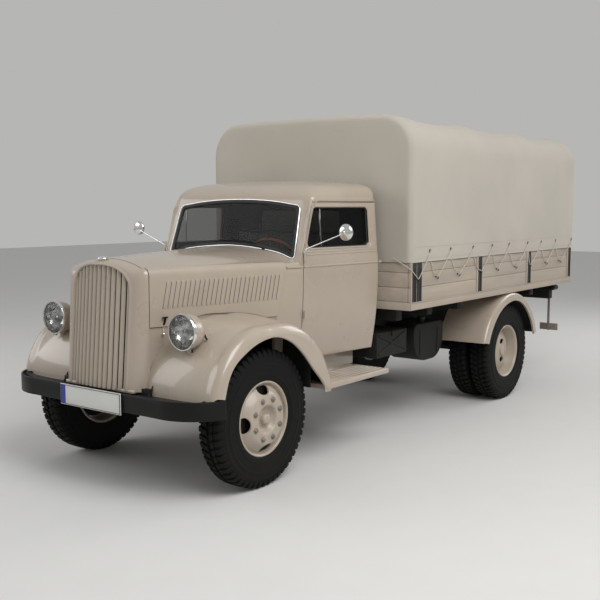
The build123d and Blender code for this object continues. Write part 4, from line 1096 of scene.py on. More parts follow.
back_plate = skin("grille_back", 20, 20, grille_back_shape)
thick(back_plate, 3)
done(back_plate, core_black)
shell_foot = box("shell_foot", (-330, 330), (-660, -548), (668, 694), 10, 3)
done(shell_foot, body_paint)
for name, line, z, material, slot in (
    ("filler_neck", [(0, 0), (0, 28), (20, 28), (23, 25), (24, 0)], 1494, body_paint, "body_paint"),
    ("radiator_cap", [(0, 0), (0, 31), (2, 35), (8, 36.5), (11, 35), (13, 32), (13, 0)], 1515, chrome,
     "mirror_chrome"),
    ("cap_top", [(0, 0), (0, 32), (3, 33), (6, 30), (8, 24), (9, 0)], 1528, chrome, "mirror_chrome"),
):
    done(turned(name, line, (0, -590, z), (0, 0, 1)), material)


# Front fenders: a rounded wing with a rolled lip, and the apron inside it
wing_rows = [  # (side offset, drop below the crown, inset at both ends)
    (330, 0, 0), (600, 8, 2), (720, 22, 8), (785, 36, 15), (825, 48, 21), (850, 54, 25), (872, 52, 24),
    (900, 50, 23), (924, 57, 29), (943, 80, 42), (955, 118, 62),
]
arch_behind, arch_z = 60, 560  # the place that the arch's edge is measured from
arch_rows = [  # (angle in degrees, radius)
    (3.2, 535), (22.8, 439), (46.8, 410), (70.5, 426), (91.5, 453), (109.7, 472), (129.2, 503),
    (147, 543), (163.9, 543), (168, 543),
]
foot_rows = [(0, 645), (20, 645), (43, 655), (60, 684), (118, 690)]


def wing_profile(drop, inset, t):
    """A point of the wing's side view, from its front foot over the top to its rear foot."""
    front, rear, crown = -578 + inset, 716 - inset, 1140 - drop
    if t <= 0.5:
        first = (front, 620)
        through = (-430 + 0.73 * inset, 975 - 0.68 * drop)
        low = 0.0
        for _ in range(18):
            p = arc(first, through, (10, crown), low)
            low += (table(foot_rows, drop)[0] - p[1]) / 900
        return arc(first, through, (10, crown), mix(low, 1, t * 2))
    if t <= 0.95:
        return arc((10, crown), (440 - 0.55 * inset, 1030 - 0.83 * drop), (rear, 590), (t - 0.5) / 0.45)
    return (rear, mix(590, 556, (t - 0.95) / 0.05))


def arch_point(behind, z):
    """The wheel arch's edge, seen from the axle towards a point of the wing."""
    turn = degrees(atan2(z - arch_z, behind - arch_behind))
    r = table(arch_rows, turn)[0]
    return (arch_behind + r * cos(radians(turn)), arch_z + r * sin(radians(turn)))


def wing_shape(u, v):
    """The wing from the hood outwards, then its side face down to the arch and the rolled lip."""
    if u <= 0.72:
        drop = inset = 0
        x = 600
        for _ in range(3):
            behind, z = wing_profile(drop, inset, v)
            near = max(359, min(430, hood_half(min(behind, 519)) - 14))
            w = u / 0.72
            x = mix(near, 955, 1 - (1 - w) ** 1.6)
            drop, inset = table(wing_rows, x)
        behind, z = wing_profile(drop, inset, v)
        return (x, behind, z)
    outer = wing_profile(118, 62, v)
    lip = arch_point(*outer)
    w = (u - 0.72) / 0.28
    if w <= 0.6:
        return (955, mix(outer[0], lip[0], w / 0.6), mix(outer[1], lip[1], w / 0.6))
    turn = (w - 0.6) / 0.4
    away = Vector((lip[0] - arch_behind, lip[1] - arch_z)).normalized()
    sink = 9 * sin(turn * pi)
    return (955 - 22 * turn, lip[0] - away.x * sink * 0.6, lip[1] - away.y * sink * 0.6)


wing = skin("wing", 50, 72, wing_shape)
edit(wing, outwards)
if sum(p.normal.z * p.area for p in wing.data.polygons) < 0:
    edit(wing, bpy.ops.mesh.flip_normals)
thick(wing, 5)


def wall_line(start, end, sink, u):
    """A place along the hood's side, its side offset sunk inwards, and the junction's height there."""
    behind = mix(start, end, u)
    return hood_half(behind) - sink, behind, table(junction, behind)[0]


def apron_shape(u, v):
    x, behind, height = wall_line(-530, 516, 14, u)
    return (min(430, x), behind, mix(748, max(1084, height - 6), v))


def nose_shape(u, v):
    x, behind, _ = wall_line(-533, -440, 4, u)
    return (x, behind, mix(700, 1083, v))


def foot_shape(u, v):
    x, behind, height = wall_line(-442, 516, 6, u)
    return (x, behind, mix(min(1084, height - 45), max(1086, height + 1), v))


def step_shape(u, v):
    x, behind, height = wall_line(-530, 514, 15, u)
    return (x, behind, max(1084, height - 12) + 34 * v)


apron = skin("wing_apron", 24, 8, apron_shape)
thick(apron, 4)
back_corners = [(426, 592), (880, 592), (880, 888), (730, 930), (426, 950)]
arch_back = prism("arch_back", back_corners, 503, 512, "y", 2)
both([apron, arch_back], "arch_walls", chassis_paint)
nose = skin("wing_nose", 6, 12, nose_shape)
thick(nose, 4)
foot_strip = skin("hood_foot", 60, 3, foot_shape)
thick(foot_strip, 3)
step_flange = skin("wing_step", 40, 3, step_shape)
thick(step_flange, 3)
# Painted shade: a near-black sheet just inside the wing's faces that look towards the wheel.
under = shade_sheet_inside(wing, "wing_painted_shade", (640, 60, 500), 0.93)
both(under, "wing_painted_shade", chassis_paint)
both([wing, nose, foot_strip, step_flange], "wing", body_paint, ["front_fender"])

# Headlamps
bowl = [
    (155, 0), (154, 20), (148, 44), (136, 66), (118, 86), (94, 102), (66, 112), (30, 117), (14, 118),
    (10, 114), (14, 108), (60, 90), (100, 50), (112, 0),
]
stem_line = [(0, 0), (0, 26), (6, 24), (40, 18), (96, 22), (120, 26), (120, 0)]
rim_line = [(16, 116), (13, 119), (5, 120), (-3, 119), (-8, 115), (-8, 110), (-2, 108), (8, 110), (16, 116)]
mirror_line = [
    (92, 0), (90, 30), (78, 62), (54, 88), (20, 104), (10, 106), (24, 108), (60, 92), (90, 60), (98, 0)]
bulb_line = [(20, 0), (24, 9), (36, 13), (48, 9), (54, 6), (90, 6), (90, 0)]
lamp_x = 631
lamps = []
for side in (1, -1):
    shell = turned("lamp_shell", bowl, (side * lamp_x, -508, 1077), (0, 1, 0), 56)
    stem = turned("lamp_stem", stem_line, (side * lamp_x, -440, 960), (0, 0.05, -1), 24)
    stem.data.transform(Matrix.Translation(Vector((0, 0, 0.06))))
    bolt = rod("lamp_bolt", [(side * lamp_x, -502, 952), (side * lamp_x, -486, 952)], 5, 2)
    lamps.append(joined("lamp", [shell, stem, bolt]))
done(joined("lamp_shells", lamps), body_paint, ["headlamps"])
rims = []
mirrors = []
lenses = []
for side in (1, -1):
    place = (side * lamp_x, -508, 1077)
    rims.append(turned("lamp_rim", rim_line, place, (0, 1, 0), 56))
    mirrors.append(turned("lamp_mirror", mirror_line, place, (0, 1, 0), 48))
    mirrors.append(turned("lamp_bulb", bulb_line, place, (0, 1, 0), 20))

    def lens_shape(u, v, place=place):
        r = 108 * v
        turn = 2 * pi * u
        flute = 0.9 * cos(r * cos(turn) / 2.6) if v < 0.97 else 0
        return (place[0] + r * cos(turn), place[1] - 12 - 16 * (1 - v**2) + flute, place[2] + r * sin(turn))

    lens = skin("lens", 96, 20, lens_shape, closed=True)
    edit(lens, outwards)
    thick(lens, 2)
    lenses.append(lens)
done(joined("lamp_rims", rims), chrome)
done(joined("lamp_mirrors", mirrors), lamp_mirror)
tabs = []
for name, (x1, b1, z1), (x2, b2, z2) in (
    ("lamp_tab", (704, -384, 1056), (716, -372, 1020)), ("lamp_screw", (680, -470, 968), (684, -474, 948)),
):
    for side in (1, -1):
        tabs.append(rod(name, [(side * x1, b1, z1), (side * x2, b2, z2)], 6, 2))
done(joined("lamp_tabs", tabs), black_paint)
done(joined("lamp_lenses", lenses), lens_glass)

# Bumper and plate
splash = skin("splash_sheet", 30, 6, lambda u, v: (
    mix(-915, 915, u), mix(-700 + 150 * abs(2 * u - 1) ** 5, -486, v), 668 - 20 * v))
thick(splash, 3)
done(splash, chassis_paint)
from_node("front_bumper", "bumper_bar", 5, black_paint)
plate = box("number_plate", (-297, 297), (-729, -724), (541, 681), 2)
frame_line = [(-290, -730, 548), (290, -730, 548), (290, -730, 674), (-290, -730, 674)]
done(plate, plate_white)
done(loop("plate_edge", frame_line, 2.5, 1), black_paint)
done(box("plate_strip", (-289, -246), (-731, -728), (550, 672), 0.6, 1), plate_blue)

# Wheels and tyres, with their profiles in (side offset, radius)
front_disc = [
    (908, 0), (908, 18), (904, 30), (896, 36), (884, 38.5), (872, 40), (867, 46), (866, 56), (871, 70),
    (883, 82), (895, 89), (903, 94), (906, 100), (906, 112), (905, 158), (903, 167), (896, 178), (882, 195),
    (866, 211), (853, 222), (850, 228), (856, 232), (868, 234), (876, 239), (879, 246), (877, 252),
    (870, 254), (863, 250), (857, 245), (846, 243), (724, 243), (714, 246), (708, 252), (702, 252),
    (700, 244), (706, 235), (720, 231), (836, 226), (843, 221), (857, 207), (873, 190), (889, 173),
    (897, 164), (898, 156), (898, 112), (896, 102), (888, 95), (876, 88), (864, 74), (859, 60), (859, 46),
    (864, 38), (880, 34), (892, 30), (898, 16), (900, 0),
]
front_centre = (0, 0, axle_height)
rear_centre = (0, wheelbase, axle_height)


def hand_holes(centre, reach, count, width, height, radius, limit=1000, shift=0.0):
    """Tools for a disc's oval hand holes, evenly spaced round its axle and cut off at a limit."""
    low, high = reach
    found = []
    for i in range(count):
        hole = turned("hole", [(low, 0), (low, 1), (high, 1), (high, 0)], (0, 0, 0), (1, 0, 0), 32)
        hole.data.transform(Matrix.Translation(-at(0, 0, 0)))
        for vertex in hole.data.vertices:
            vertex.co.y *= width
            vertex.co.z = min(vertex.co.z * height + radius / 1000, limit / 1000)
        turn = Matrix.Rotation(2 * pi * i / count + shift, 4, "X")
        hole.data.transform(Matrix.Translation(at(*centre)) @ turn)
        found.append(hole)
    return found


disc = turned("disc", front_disc, front_centre, (1, 0, 0), 96)
cut(disc, *hand_holes(front_centre, (790, 930), 4, 54, 32, 198, 220.5, 0.06))
nut_line = [(0, 0), (0, 21), (3, 21), (6, 17), (13, 15), (18, 10), (19, 0)]
nut = turned("nut", nut_line, (904, 0, axle_height + 136), (1, 0, 0), 6)
# Painted shade: a near-black ring behind the front disc's hand holes, so that they read dark.
hole_shade_line = [
    (842, 66), (842, 150), (834, 204), (828, 216), (822, 216), (828, 202), (836, 150), (836, 66), (842, 66)]
back = turned("hand_hole_shade", hole_shade_line, front_centre, (1, 0, 0), 64)
both(back, "hand_hole_shade", chassis_paint, body="front_wheel_{}_body")
hub_bolt = turned("bolt", [(0, 0), (0, 5), (4, 5), (5, 0)], (864, 0, axle_height + 64), (1, 0, 0), 6)


def round_axle(piece, count, behind, shift=0.0):
    """Copies of a piece, evenly spaced round an axle."""
    found = []
    from_front = Matrix.Translation(-at(0, 0, axle_height))
    to_axle = Matrix.Translation(at(0, behind, axle_height))
    for i in range(count):
        turn = Matrix.Rotation(2 * pi * (i + shift) / count, 4, "X")
        found.append(copied(piece, piece.name, to_axle @ turn @ from_front))
    return found


both(round_axle(nut, 8, 0, 0.5), "wheel_nuts", nut_iron, body="front_wheel_{}_body")
front_wheel = [disc] + round_axle(hub_bolt, 6, 0)
both(front_wheel, "front_disc", wheel_paint, ["front_wheel"], "front_wheel_{}_body")
rear_disc = [
    (934, 0), (934, 46), (930, 52), (916, 55), (913, 60), (913, 116), (909, 128), (894, 160), (876, 192),
    (862, 214), (858, 222), (864, 227), (944, 230), (956, 234), (964, 241), (966, 248), (961, 253),
    (952, 252), (944, 245), (934, 242), (812, 242), (804, 246), (799, 253), (795, 251), (794, 243),
    (800, 234), (812, 230), (838, 226), (848, 220), (856, 204), (882, 166), (896, 140), (901, 120),
    (901, 90), (901, 0),
]
inner_disc = [
    (783, 92), (783, 140), (770, 160), (748, 196), (732, 222), (728, 230), (734, 234), (741, 242),
    (740, 250), (734, 253), (727, 248), (716, 243), (612, 243), (600, 246), (594, 253), (586, 253),
    (582, 245), (586, 236), (598, 231), (706, 228), (716, 219), (734, 190), (756, 154), (766, 138),
    (766, 92), (783, 92),
]
drum_line = [
    (594, 60), (594, 182), (600, 190), (664, 190), (672, 184), (676, 110), (682, 96), (758, 94), (758, 60),
    (594, 60),
]
disc = turned("rear_disc", rear_disc, rear_centre, (1, 0, 0), 96)
cut(disc, *hand_holes(rear_centre, (870, 950), 2, 42, 27, 88))
hub_bolt.data.transform(Matrix.Translation(Vector((0.069, 0, -0.030))))
nuts = round_axle(hub_bolt, 8, wheelbase, 0.5)
# Painted shade: a near-black ring behind the rear disc's hand holes, so that they read dark.
hole_shade_line = [(890, 50), (890, 134), (880, 158), (874, 158), (884, 132), (884, 50), (890, 50)]
back = turned("rear_hand_hole_shade", hole_shade_line, rear_centre, (1, 0, 0), 64)
both(back, "rear_hand_hole_shade", chassis_paint, body="rear_wheels_{}_body")
inner = turned("inner_disc", inner_disc, rear_centre, (1, 0, 0), 72)
drum = turned("drum", drum_line, rear_centre, (1, 0, 0), 48)
both([disc, inner] + nuts, "rear_disc", wheel_paint, ["rear_wheels"], "rear_wheels_{}_body")
both(drum, "rear_drum", chassis_paint, body="rear_wheels_{}_body")
for piece in (nut, hub_bolt):
    bpy.data.objects.remove(piece)
half_tyre = [
    (79, 250), (85, 257), (90, 272), (91, 284), (93.5, 286), (93.5, 290), (92.5, 294), (95, 320),
    (95.5, 346), (95, 352), (97, 355), (97, 362), (94.5, 366), (93, 392), (94.5, 396), (93, 402), (88, 424),
    (82, 438), (74, 447), (60, 450), (42, 451), (38, 446), (30, 446), (26, 452), (8, 452), (5, 447),
    (0, 447),
]
whole_tyre = half_tyre + [(-x, r) for x, r in reversed(half_tyre[:-1])]
whole_tyre += [(-70, 246), (70, 246), (79, 250)]
tyre = turned("tyre", whole_tyre, front_centre, (1, 0, 0), 104)
lug_count = 54


def lug(name, outline, low, high):
    """A block of the tread, by its outline in (side offset, radius)."""
    piece = prism(name, [(x, axle_height + r) for x, r in outline], low, high, "y")
    bevelled(piece, 2.0, 1, 50)
    return piece


shoulder_line = [(46, 446), (47, 463), (70, 462.5), (82, 455), (90, 436), (93.5, 416), (88, 418), (80, 438)]
shoulder_lug = lug("shoulder_lug", shoulder_line, -17, 17)
middle_lug = lug("middle_lug", [(9, 448), (10, 464.5), (41, 463.5), (43, 448)], -18, 18)
for vertex in middle_lug.data.vertices:
    vertex.co.y += (vertex.co.x * 1000 - 25) * 0.00035
blocks = []
for piece, shift in ((shoulder_lug, 0.0), (middle_lug, 0.25)):
    blocks += round_axle(piece, lug_count, 0, shift)
    twin = mirrored(piece, "twin")
    blocks += round_axle(twin, lug_count, 0, shift + 0.5)
    bpy.data.objects.remove(piece)
    bpy.data.objects.remove(twin)
tyre = joined("tyre", [tyre] + blocks)


def tyre_at(name, places, body, node):
    """Copies of the tyre at places of (side offset, distance behind the front axle), as one piece."""
    moves = [Matrix.Translation(Vector((x / 1000, behind / 1000, 0))) for x, behind in places]
    made = [copied(tyre, name, move) for move in moves]
    done(joined(name, made), rubber, [node], body)


front_tyre, rear_outer_tyre, rear_inner_tyre = 795, 882, 662
for side, word in ((1, "left"), (-1, "right")):
    tyre_at("tyre_front_" + word, [(side * front_tyre, 0)], f"front_wheel_{word}_body", "front_tyre_" + word)
    rear_places = [(side * x, wheelbase) for x in (rear_outer_tyre, rear_inner_tyre)]
    tyre_at("tyre_rear_" + word, rear_places, f"rear_wheels_{word}_body", "rear_tyres_" + word)
bpy.data.objects.remove(tyre)

# Running boards and rear fenders
from_node("running_boards", "step_boards", 4, body_paint)
tread_places = (690, 730, 770, 810, 850, 890, 932, 946)
treads = [rod("tread", [(x, 640, 605), (x, 1420, 605)], 3.5, 2) for x in tread_places]
both(treads, "step_treads", body_paint)


def rear_wing_shape(u, v):
    """The wing from the frame outwards, then its outer face down to the lip round the tyre."""
    def edge(shrink):
        return arc((2982 + shrink, 613), (3598, 1043 - shrink), (4190 - shrink, 590), v)

    rows = [(0, 560, 0), (0.45, 955, 0), (0.6, 992, 3), (0.72, 1016, 10), (0.82, 1029, 22), (0.9, 1034, 38)]
    if u <= 0.9:
        x, shrink = table(rows, u)
        behind, z = edge(shrink)
        return (x, behind, z)
    outer = edge(38)
    centre = (wheelbase, axle_height)
    away = Vector((outer[0] - centre[0], outer[1] - centre[1]))
    lip = away.normalized() * max(494, away.length - 50)
    w = (u - 0.9) / 0.1
    if w <= 0.5:
        p = away.lerp(lip, w * 2)
        return (1034, centre[0] + p.x, centre[1] + p.y)
    return (1034 - 36 * (w - 0.5), centre[0] + lip.x, centre[1] + lip.y)


wing = skin("rear_wing", 40, 64, rear_wing_shape)
thick(wing, 5)
# Painted shade: a near-black sheet just inside the rear wing's faces that look towards the wheels.
under = shade_sheet_inside(wing, "rear_wing_painted_shade", (800, wheelbase, axle_height), 1.0)
both(under, "rear_wing_painted_shade", chassis_paint)


def rear_wall_shape(u, v):
    edge = arc((2981, 625), (3590, 1031), (4171, 615), u)
    return (563, *[mix(a, b, 0.22 * v) for a, b in zip(edge, (wheelbase, axle_height))])


inner_wall = skin("rear_wing_wall", 24, 4, rear_wall_shape)
thick(inner_wall, 4)
stays = [
    rod("stay", [(420, inner, 655), (600, outer, 655)], 12, 3)
    for inner, outer in ((3013, 3013), (4162, 4150))]
pieces = [wing, inner_wall] + stays
wings = joined("rear_wings", pieces + [mirrored(p, p.name) for p in pieces])
done(wings, body_paint, ["rear_fenders"])

# Bed: floor, planked boards, straps and tailgate
from_node("bed_floor", "bed_deck", 3, board_paint)
board_top = 1419


def planks(name, x, behind, foot=1103.5, top=board_top):
    """Three boards one above the other, with a groove between them."""
    levels = (foot, 1219, 1339, top)
    return [box(name, x, behind, (low + 0.7, high - 0.7), 5, 3) for low, high in zip(levels, levels[1:])]


for side, word, nodes in ((1, "left", ["side_boards"]), (-1, "right", [])):
    boards = planks("plank", (side * 1002, side * 1027), (1630, 5062))
    done(joined("side_planks_" + word, boards), board_paint, nodes)
front_planks = planks("plank", (-1001, 1001), (1630, 1655))
done(joined("front_planks", front_planks), board_paint, ["front_board"])
gate_planks = planks("gate_plank", (-1026, 1026), (5070, 5095), 1109, 1409)
gate_eye = [(0, 5.4), (0, 11), (56, 11), (56, 5.4), (0, 5.4)]
gate_straps = []
for x in (-760, 0, 760):
    gate_straps += [
        box("gate_strap", (x - 28, x + 28), (5094, 5103), (1117, 1359), 2),
        box("gate_strap", (x - 28, x + 28), (5098, 5103), (1090, 1120), 1),
        turned("gate_eye", gate_eye, (x - 28, 5107, 1088), (1, 0, 0), 20),
    ]
done(joined("gate_boards", gate_planks), board_paint, ["tailgate"], "tailgate_body")
done(joined("gate_straps", gate_straps), strap_iron, body="tailgate_body")
strap_places = ((1652, 1716), (1734, 1798), (2815, 2885), (3908, 3978), (4984, 5052))
straps = []
for low, high in strap_places:
    outline = [
        (1026, low), (1033, low), (1036, low + 4), (1036, low + 16), (1030, low + 20), (1030, high - 20),
        (1036, high - 16), (1036, high - 4), (1033, high), (1026, high),
    ]
    straps.append(prism("strap", outline, 1106, 1416, "z", 1))
    for z in (1128, 1165, 1250, 1300, 1372, 1400):
        place = (1029, (low + high) / 2, z)
        straps.append(turned("rivet", [(0, 0), (0, 7), (3, 6), (5, 0)], place, (1, 0, 0), 10))
both(straps, "side_straps", strap_iron)
battens = []
for low, high in strap_places[2:]:
    battens.append(box("batten", (1026, 1035), (low - 30, low - 4), (1104, 1416), 3))
battens.append(box("batten", (1026, 1034), (1631, 1649), (1042, 1417), 3))
battens.append(box("rim_lip", (1026, 1031), (1632, 5092), (1096, 1106), 2))
both(battens, "side_battens", board_paint)

# Tilt: one sheet over the bows, closed at both ends, with its hem, eyelets and lacing
tilt_half, tilt_front, tilt_rear = 1037, 1620, 5105
wall_top, crown_edge, crown = (tilt_half, 2307), (tilt_half - 290, 2583), (0, 2597)
hem = board_top
half_section = [(tilt_half, mix(hem, wall_top[1], i / 24)) for i in range(24)]
half_section += [arc(wall_top, (tilt_half - 85, 2502), crown_edge, i / 16) for i in range(16)]
half_section += [arc(crown_edge, crown, (-crown_edge[0], crown_edge[1]), i / 48) for i in range(25)]
half_section = evenly(half_section, 65)
tilt_line = half_section + [Vector((-p.x, p.y)) for p in reversed(half_section[:-1])]
across = len(tilt_line) - 1
tilt_out = []
for i, p in enumerate(tilt_line):
    ahead = tilt_line[min(i + 1, across)] - tilt_line[max(i - 1, 0)]
    tilt_out.append(Vector((ahead.y, -ahead.x)).normalized())
bow_places = (tilt_front, 1760, 2840, 3920, 5000, tilt_rear)
end_round = 46


def sag(behind):
    """How far the cloth hangs between two bows, as a share of its deepest."""
    for low, high in zip(bow_places, bow_places[1:]):
        reach = (high - low) / 2
        if low <= behind <= high and reach > 200:
            w = min(1.0, abs(behind - (low + high) / 2) / (reach - 30))
            return (1 - w * w) ** 1.1
    return 0


def cloth(i, behind, inset):
    """A point of the tilt at section step i, sunk by inset at its rounded ends."""
    p = tilt_line[i]
    out = tilt_out[i]
    high = max(0.0, min(1.0, (p.y - 1480) / 700))
    top = max(0.0, min(1.0, (p.y - 2240) / 300))
    depth = sag(behind) * (7 * high + 19 * top)
    ripple = 1.6 * sin(behind / 61 + p.x / 210) * sin(behind / 173 + 1.3) * high
    low = max(0.0, 1 - (p.y - hem) / 240)
    pull = 3.2 * low * sin(behind * 2 * pi / 392 - 0.4) - 1.0 * low
    fold = 1.5 if p.y < hem + 33 else 0
    move = -depth - inset + ripple + pull + fold
    return (p.x + out.x * move, p.y + out.y * move * (0 if i in (0, across) else 1))


length_steps = 150
round_steps = 6
cap_steps = 26
rows = [("cap", 1 - k / cap_steps) for k in range(cap_steps)]
rows += [("round", k / round_steps) for k in range(round_steps)]
rows += [("along", k / length_steps) for k in range(length_steps + 1)]
tilt_rows = rows + [(kind + "_rear", w) for kind, w in reversed(rows[:cap_steps + round_steps])]


def tilt_shape(u, v):
    """The sheet from the middle of its front face over the bows to the middle of its rear face."""
    kind, w = tilt_rows[round(v * (len(tilt_rows) - 1))]
    i = round(u * across)
    rear = kind.endswith("_rear")
    end, inwards = (tilt_rear, -1) if rear else (tilt_front, 1)
    if kind == "along":
        behind = mix(tilt_front + end_round, tilt_rear - end_round, w)
        x, z = cloth(i, behind, 0)
        return (x, behind, z)
    turn = w * pi / 2
    if kind.startswith("round"):
        edge = end + inwards * end_round - inwards * end_round * cos(turn)
        x, z = cloth(i, edge, end_round * (1 - sin(turn)))
        return (x, edge, z)
    x, z = cloth(i, end, end_round)
    x, z = mix(x, 0, w), mix(z, hem, w)
    fold = 3 * sin(x / 70) * sin(z / 260 + 1) * min(1, 4 * w) * min(1, (1 - w) * 3)
    dish = 5 * min(1, 3 * w) * min(1, 3 * (1 - w))
    return (x, end + inwards * dish + fold, z)


tilt = skin("tilt_sheet", across, len(tilt_rows) - 1, tilt_shape)
edit(tilt, weld, outwards)
if sum(p.normal.z * p.area for p in tilt.data.polygons) < 0:
    edit(tilt, bpy.ops.mesh.flip_normals)
thick(tilt, 3)
done(tilt, canvas, ["canvas_tilt"], angle=60)
eyelet_height, hook_height = 1503, 1283
eyelet_places = (1921, 2279, 2699, 3083, 3449, 3885, 4227, 4607, 5052)
hook_places = (1725, 2043, 2428, 2850, 3196, 3608, 3943, 4359, 4735)


def tilt_face(behind, z):
    """The tilt's outer face at the left side near its hem."""
    left = [k for k in range(across) if tilt_line[k].x > 0]
    i = min(left, key=lambda k: abs(tilt_line[k].y - z))
    return cloth(i, behind, 0)[0]


eyelet_line = [(0, 6), (0, 15), (3, 16), (5, 12), (4, 7), (0, 6)]
rings = []
for behind in eyelet_places:
    place = (tilt_face(behind, eyelet_height) - 1, behind, eyelet_height)
    rings.append(turned("eyelet", eyelet_line, place, (1, 0, 0), 20))
left_rings, right_rings = both(rings, "eyelets", strap_iron)
seams = []
for z in (1450, 1540):
    line = [(tilt_face(b, z) + 0.6, b, z) for b in range(1672, 5060, 24)]
    seams.append(rod("seam", line, 1.5, 1))
left_seam, right_seam = both(seams, "tilt_stitches", canvas)
ropes = []
start = [(880, 1612, 1452), (985, 1611, 1400), (1032, 1622, 1368), (1043, 1650, 1340)]
for k, (behind, hook) in enumerate(zip(eyelet_places, hook_places)):
    face = tilt_face(behind, eyelet_height)
    strand = start + [
        (1043, hook - 12, 1296), (1044, hook, hook_height), (1043, hook + 12, 1292),
        (1045, mix(hook, behind, 0.6), mix(hook_height, eyelet_height, 0.55)),
        (face + 8, behind - 8, 1497), (face + 4, behind + 2, 1505),
    ]
    ropes.append(wire("rope", strand, 3.6, 2))
    if k + 1 < len(eyelet_places):
        hook = hook_places[k + 1]
        start = [
            (1031, behind + 20, 1426), (1034, behind + 28, 1400),
            (1040, mix(behind, hook, 0.38), mix(1404, hook_height, 0.5)),
            (1042, mix(behind, hook, 0.68), mix(1404, hook_height, 0.86)),
        ]
both(ropes, "lacing", rope_fibre)
hook_line = [(1024, 1292), (1044, 1290), (1051, 1282), (1048, 1272), (1038, 1270)]
plate_line = [(0, 0), (0, 13), (3, 13), (4, 10), (4, 0)]
hooks = []
for behind in hook_places:
    hooks.append(wire("hook", [(x, behind, z) for x, z in hook_line], 3.5, 2))
    hooks.append(turned("hook_plate", plate_line, (1026, behind, 1292), (1, 0, 0), 14))
both(hooks, "rope_hooks", strap_iron)

# Underframe
rails = from_node("frame_rails", "rails", 3, chassis_paint)
rail_corners = [(-730, 656), (-610, 656), (-545, 750), (-545, 800), (-730, 800)]
cut(rails, prism("rail_cut", rail_corners, -460, 460, "x"))
for node, name, edge in (
    ("cross_members", "cross_bars", 3), ("bed_subframe", "subframe", 4),
    ("rear_axle", "axle_housing", 5), ("front_axle", "axle_beam", 5), ("propeller_shaft", "drive_shaft", 3),
):
    from_node(node, name, edge, chassis_paint)
from_node("exhaust", "silencer", 4, exhaust_iron)
from_node("engine_block", "engine_body", 10, engine_iron)
from_node("tool_boxes", "tool_chests", 6, chassis_paint)
pressing = []
for (b1, z1), (b2, z2) in (((1590, 670), (1998, 822)), ((1590, 822), (1998, 670))):
    pressing.append(rod("cross", [(764, b1, z1), (764, b2, z2)], 9, 3))
pressing.append(rod("lid_edge", [(764, 1566, 836), (764, 2026, 836)], 5, 2))
pressing.append(box("hasp", (763, 775), (1780, 1812), (806, 842), 2))
both(pressing, "chest_pressing", chassis_paint)
from_node("fuel_tank", "tank", 6, chassis_paint, angle=20)
bands = []
for behind in (2340, 2650):
    band_line = [(724, behind, 560), (724, behind, 700), (722, behind, 838), (600, behind, 843)]
    bands.append(wire("band", band_line, 6, 2))
cap_line = [(0, 0), (0, 34), (22, 34), (30, 40), (46, 40), (50, 34), (50, 0)]
bands.append(turned("tank_cap", cap_line, (640, 2490, 836), (0, 0, 1), 28))
done(joined("tank_bands", bands), strap_iron)
leaves = []
for middle, half in ((0, 600), (wheelbase, 620)):
    for k in range(7):
        reach = half * (1 - 0.125 * k) - 6
        lift = 522 - 6.6 * k

        def leaf_shape(u, v, middle=middle, half=half, reach=reach, lift=lift):
            corner = [(-30, 0), (30, 0), (30, 6), (-30, 6), (-30, 0)][round(u * 4)]
            behind = middle + mix(-reach, reach, v)
            return (395 + corner[0], behind, lift + 90 * ((behind - middle) / half) ** 2 - corner[1])

        leaf = skin("leaf", 4, 20, leaf_shape, closed=True)
        edit(leaf, lambda: bpy.ops.mesh.fill_holes(sides=0), outwards)
        leaves.append(leaf)
    for behind in (middle - half + 12, middle + half - 12):
        leaves.append(box("shackle", (366, 424), (behind - 16, behind + 16), (540, 612), 5))
        leaves.append(rod("shackle_pin", [(360, behind, 602), (432, behind, 602)], 13, 3))
    for behind in (middle - 70, middle + 70):
        bolt_line = [(362, behind, 440), (362, behind, 530), (428, behind, 530), (428, behind, 440)]
        leaves.append(rod("u_bolt", bolt_line, 7, 2))
left_pack, _ = both(joined("leaf_packs_left", leaves), "leaf_packs", chassis_paint)
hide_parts("leaf_springs")
for side in ("left", "right"):
    from_node("knuckle_" + side, "steer_knuckle_" + side, 3, chassis_paint,
              f"knuckle_{side}_body")
from_node("tie_rod", "track_rod", 2, chassis_paint, "tie_rod_body")

# Engine details under the hood
head = box("rocker_cover", (-90, 90), (-380, 420), (1296, 1352), 16, 4)
air_line = [(0, 0), (0, 70), (8, 84), (60, 84), (68, 76), (72, 0)]
air = turned("air_cleaner", air_line, (-40, -40, 1350), (0, 0, 1), 40)
fan_line = [(0, 0), (0, 60), (30, 60), (34, 40), (60, 34), (60, 0)]
fan_hub = turned("fan_hub", fan_line, (0, -432, 1120), (0, -1, 0), 32)
done(joined("engine_top", [head, air, fan_hub]), engine_iron)
leads = []
for k in range(6):
    behind = -330 + k * 130
    lead_line = [(60, behind, 1352), (120, behind, 1372), (210, behind + 20, 1330), (236, 40, 1240)]
    runner_line = [(-238, behind, 1200), (-262, behind, 1180), (-268, behind + 10, 1130)]
    leads += [wire("lead", lead_line, 4, 2), wire("runner", runner_line, 20, 3)]
done(joined("engine_leads", leads), gasket)

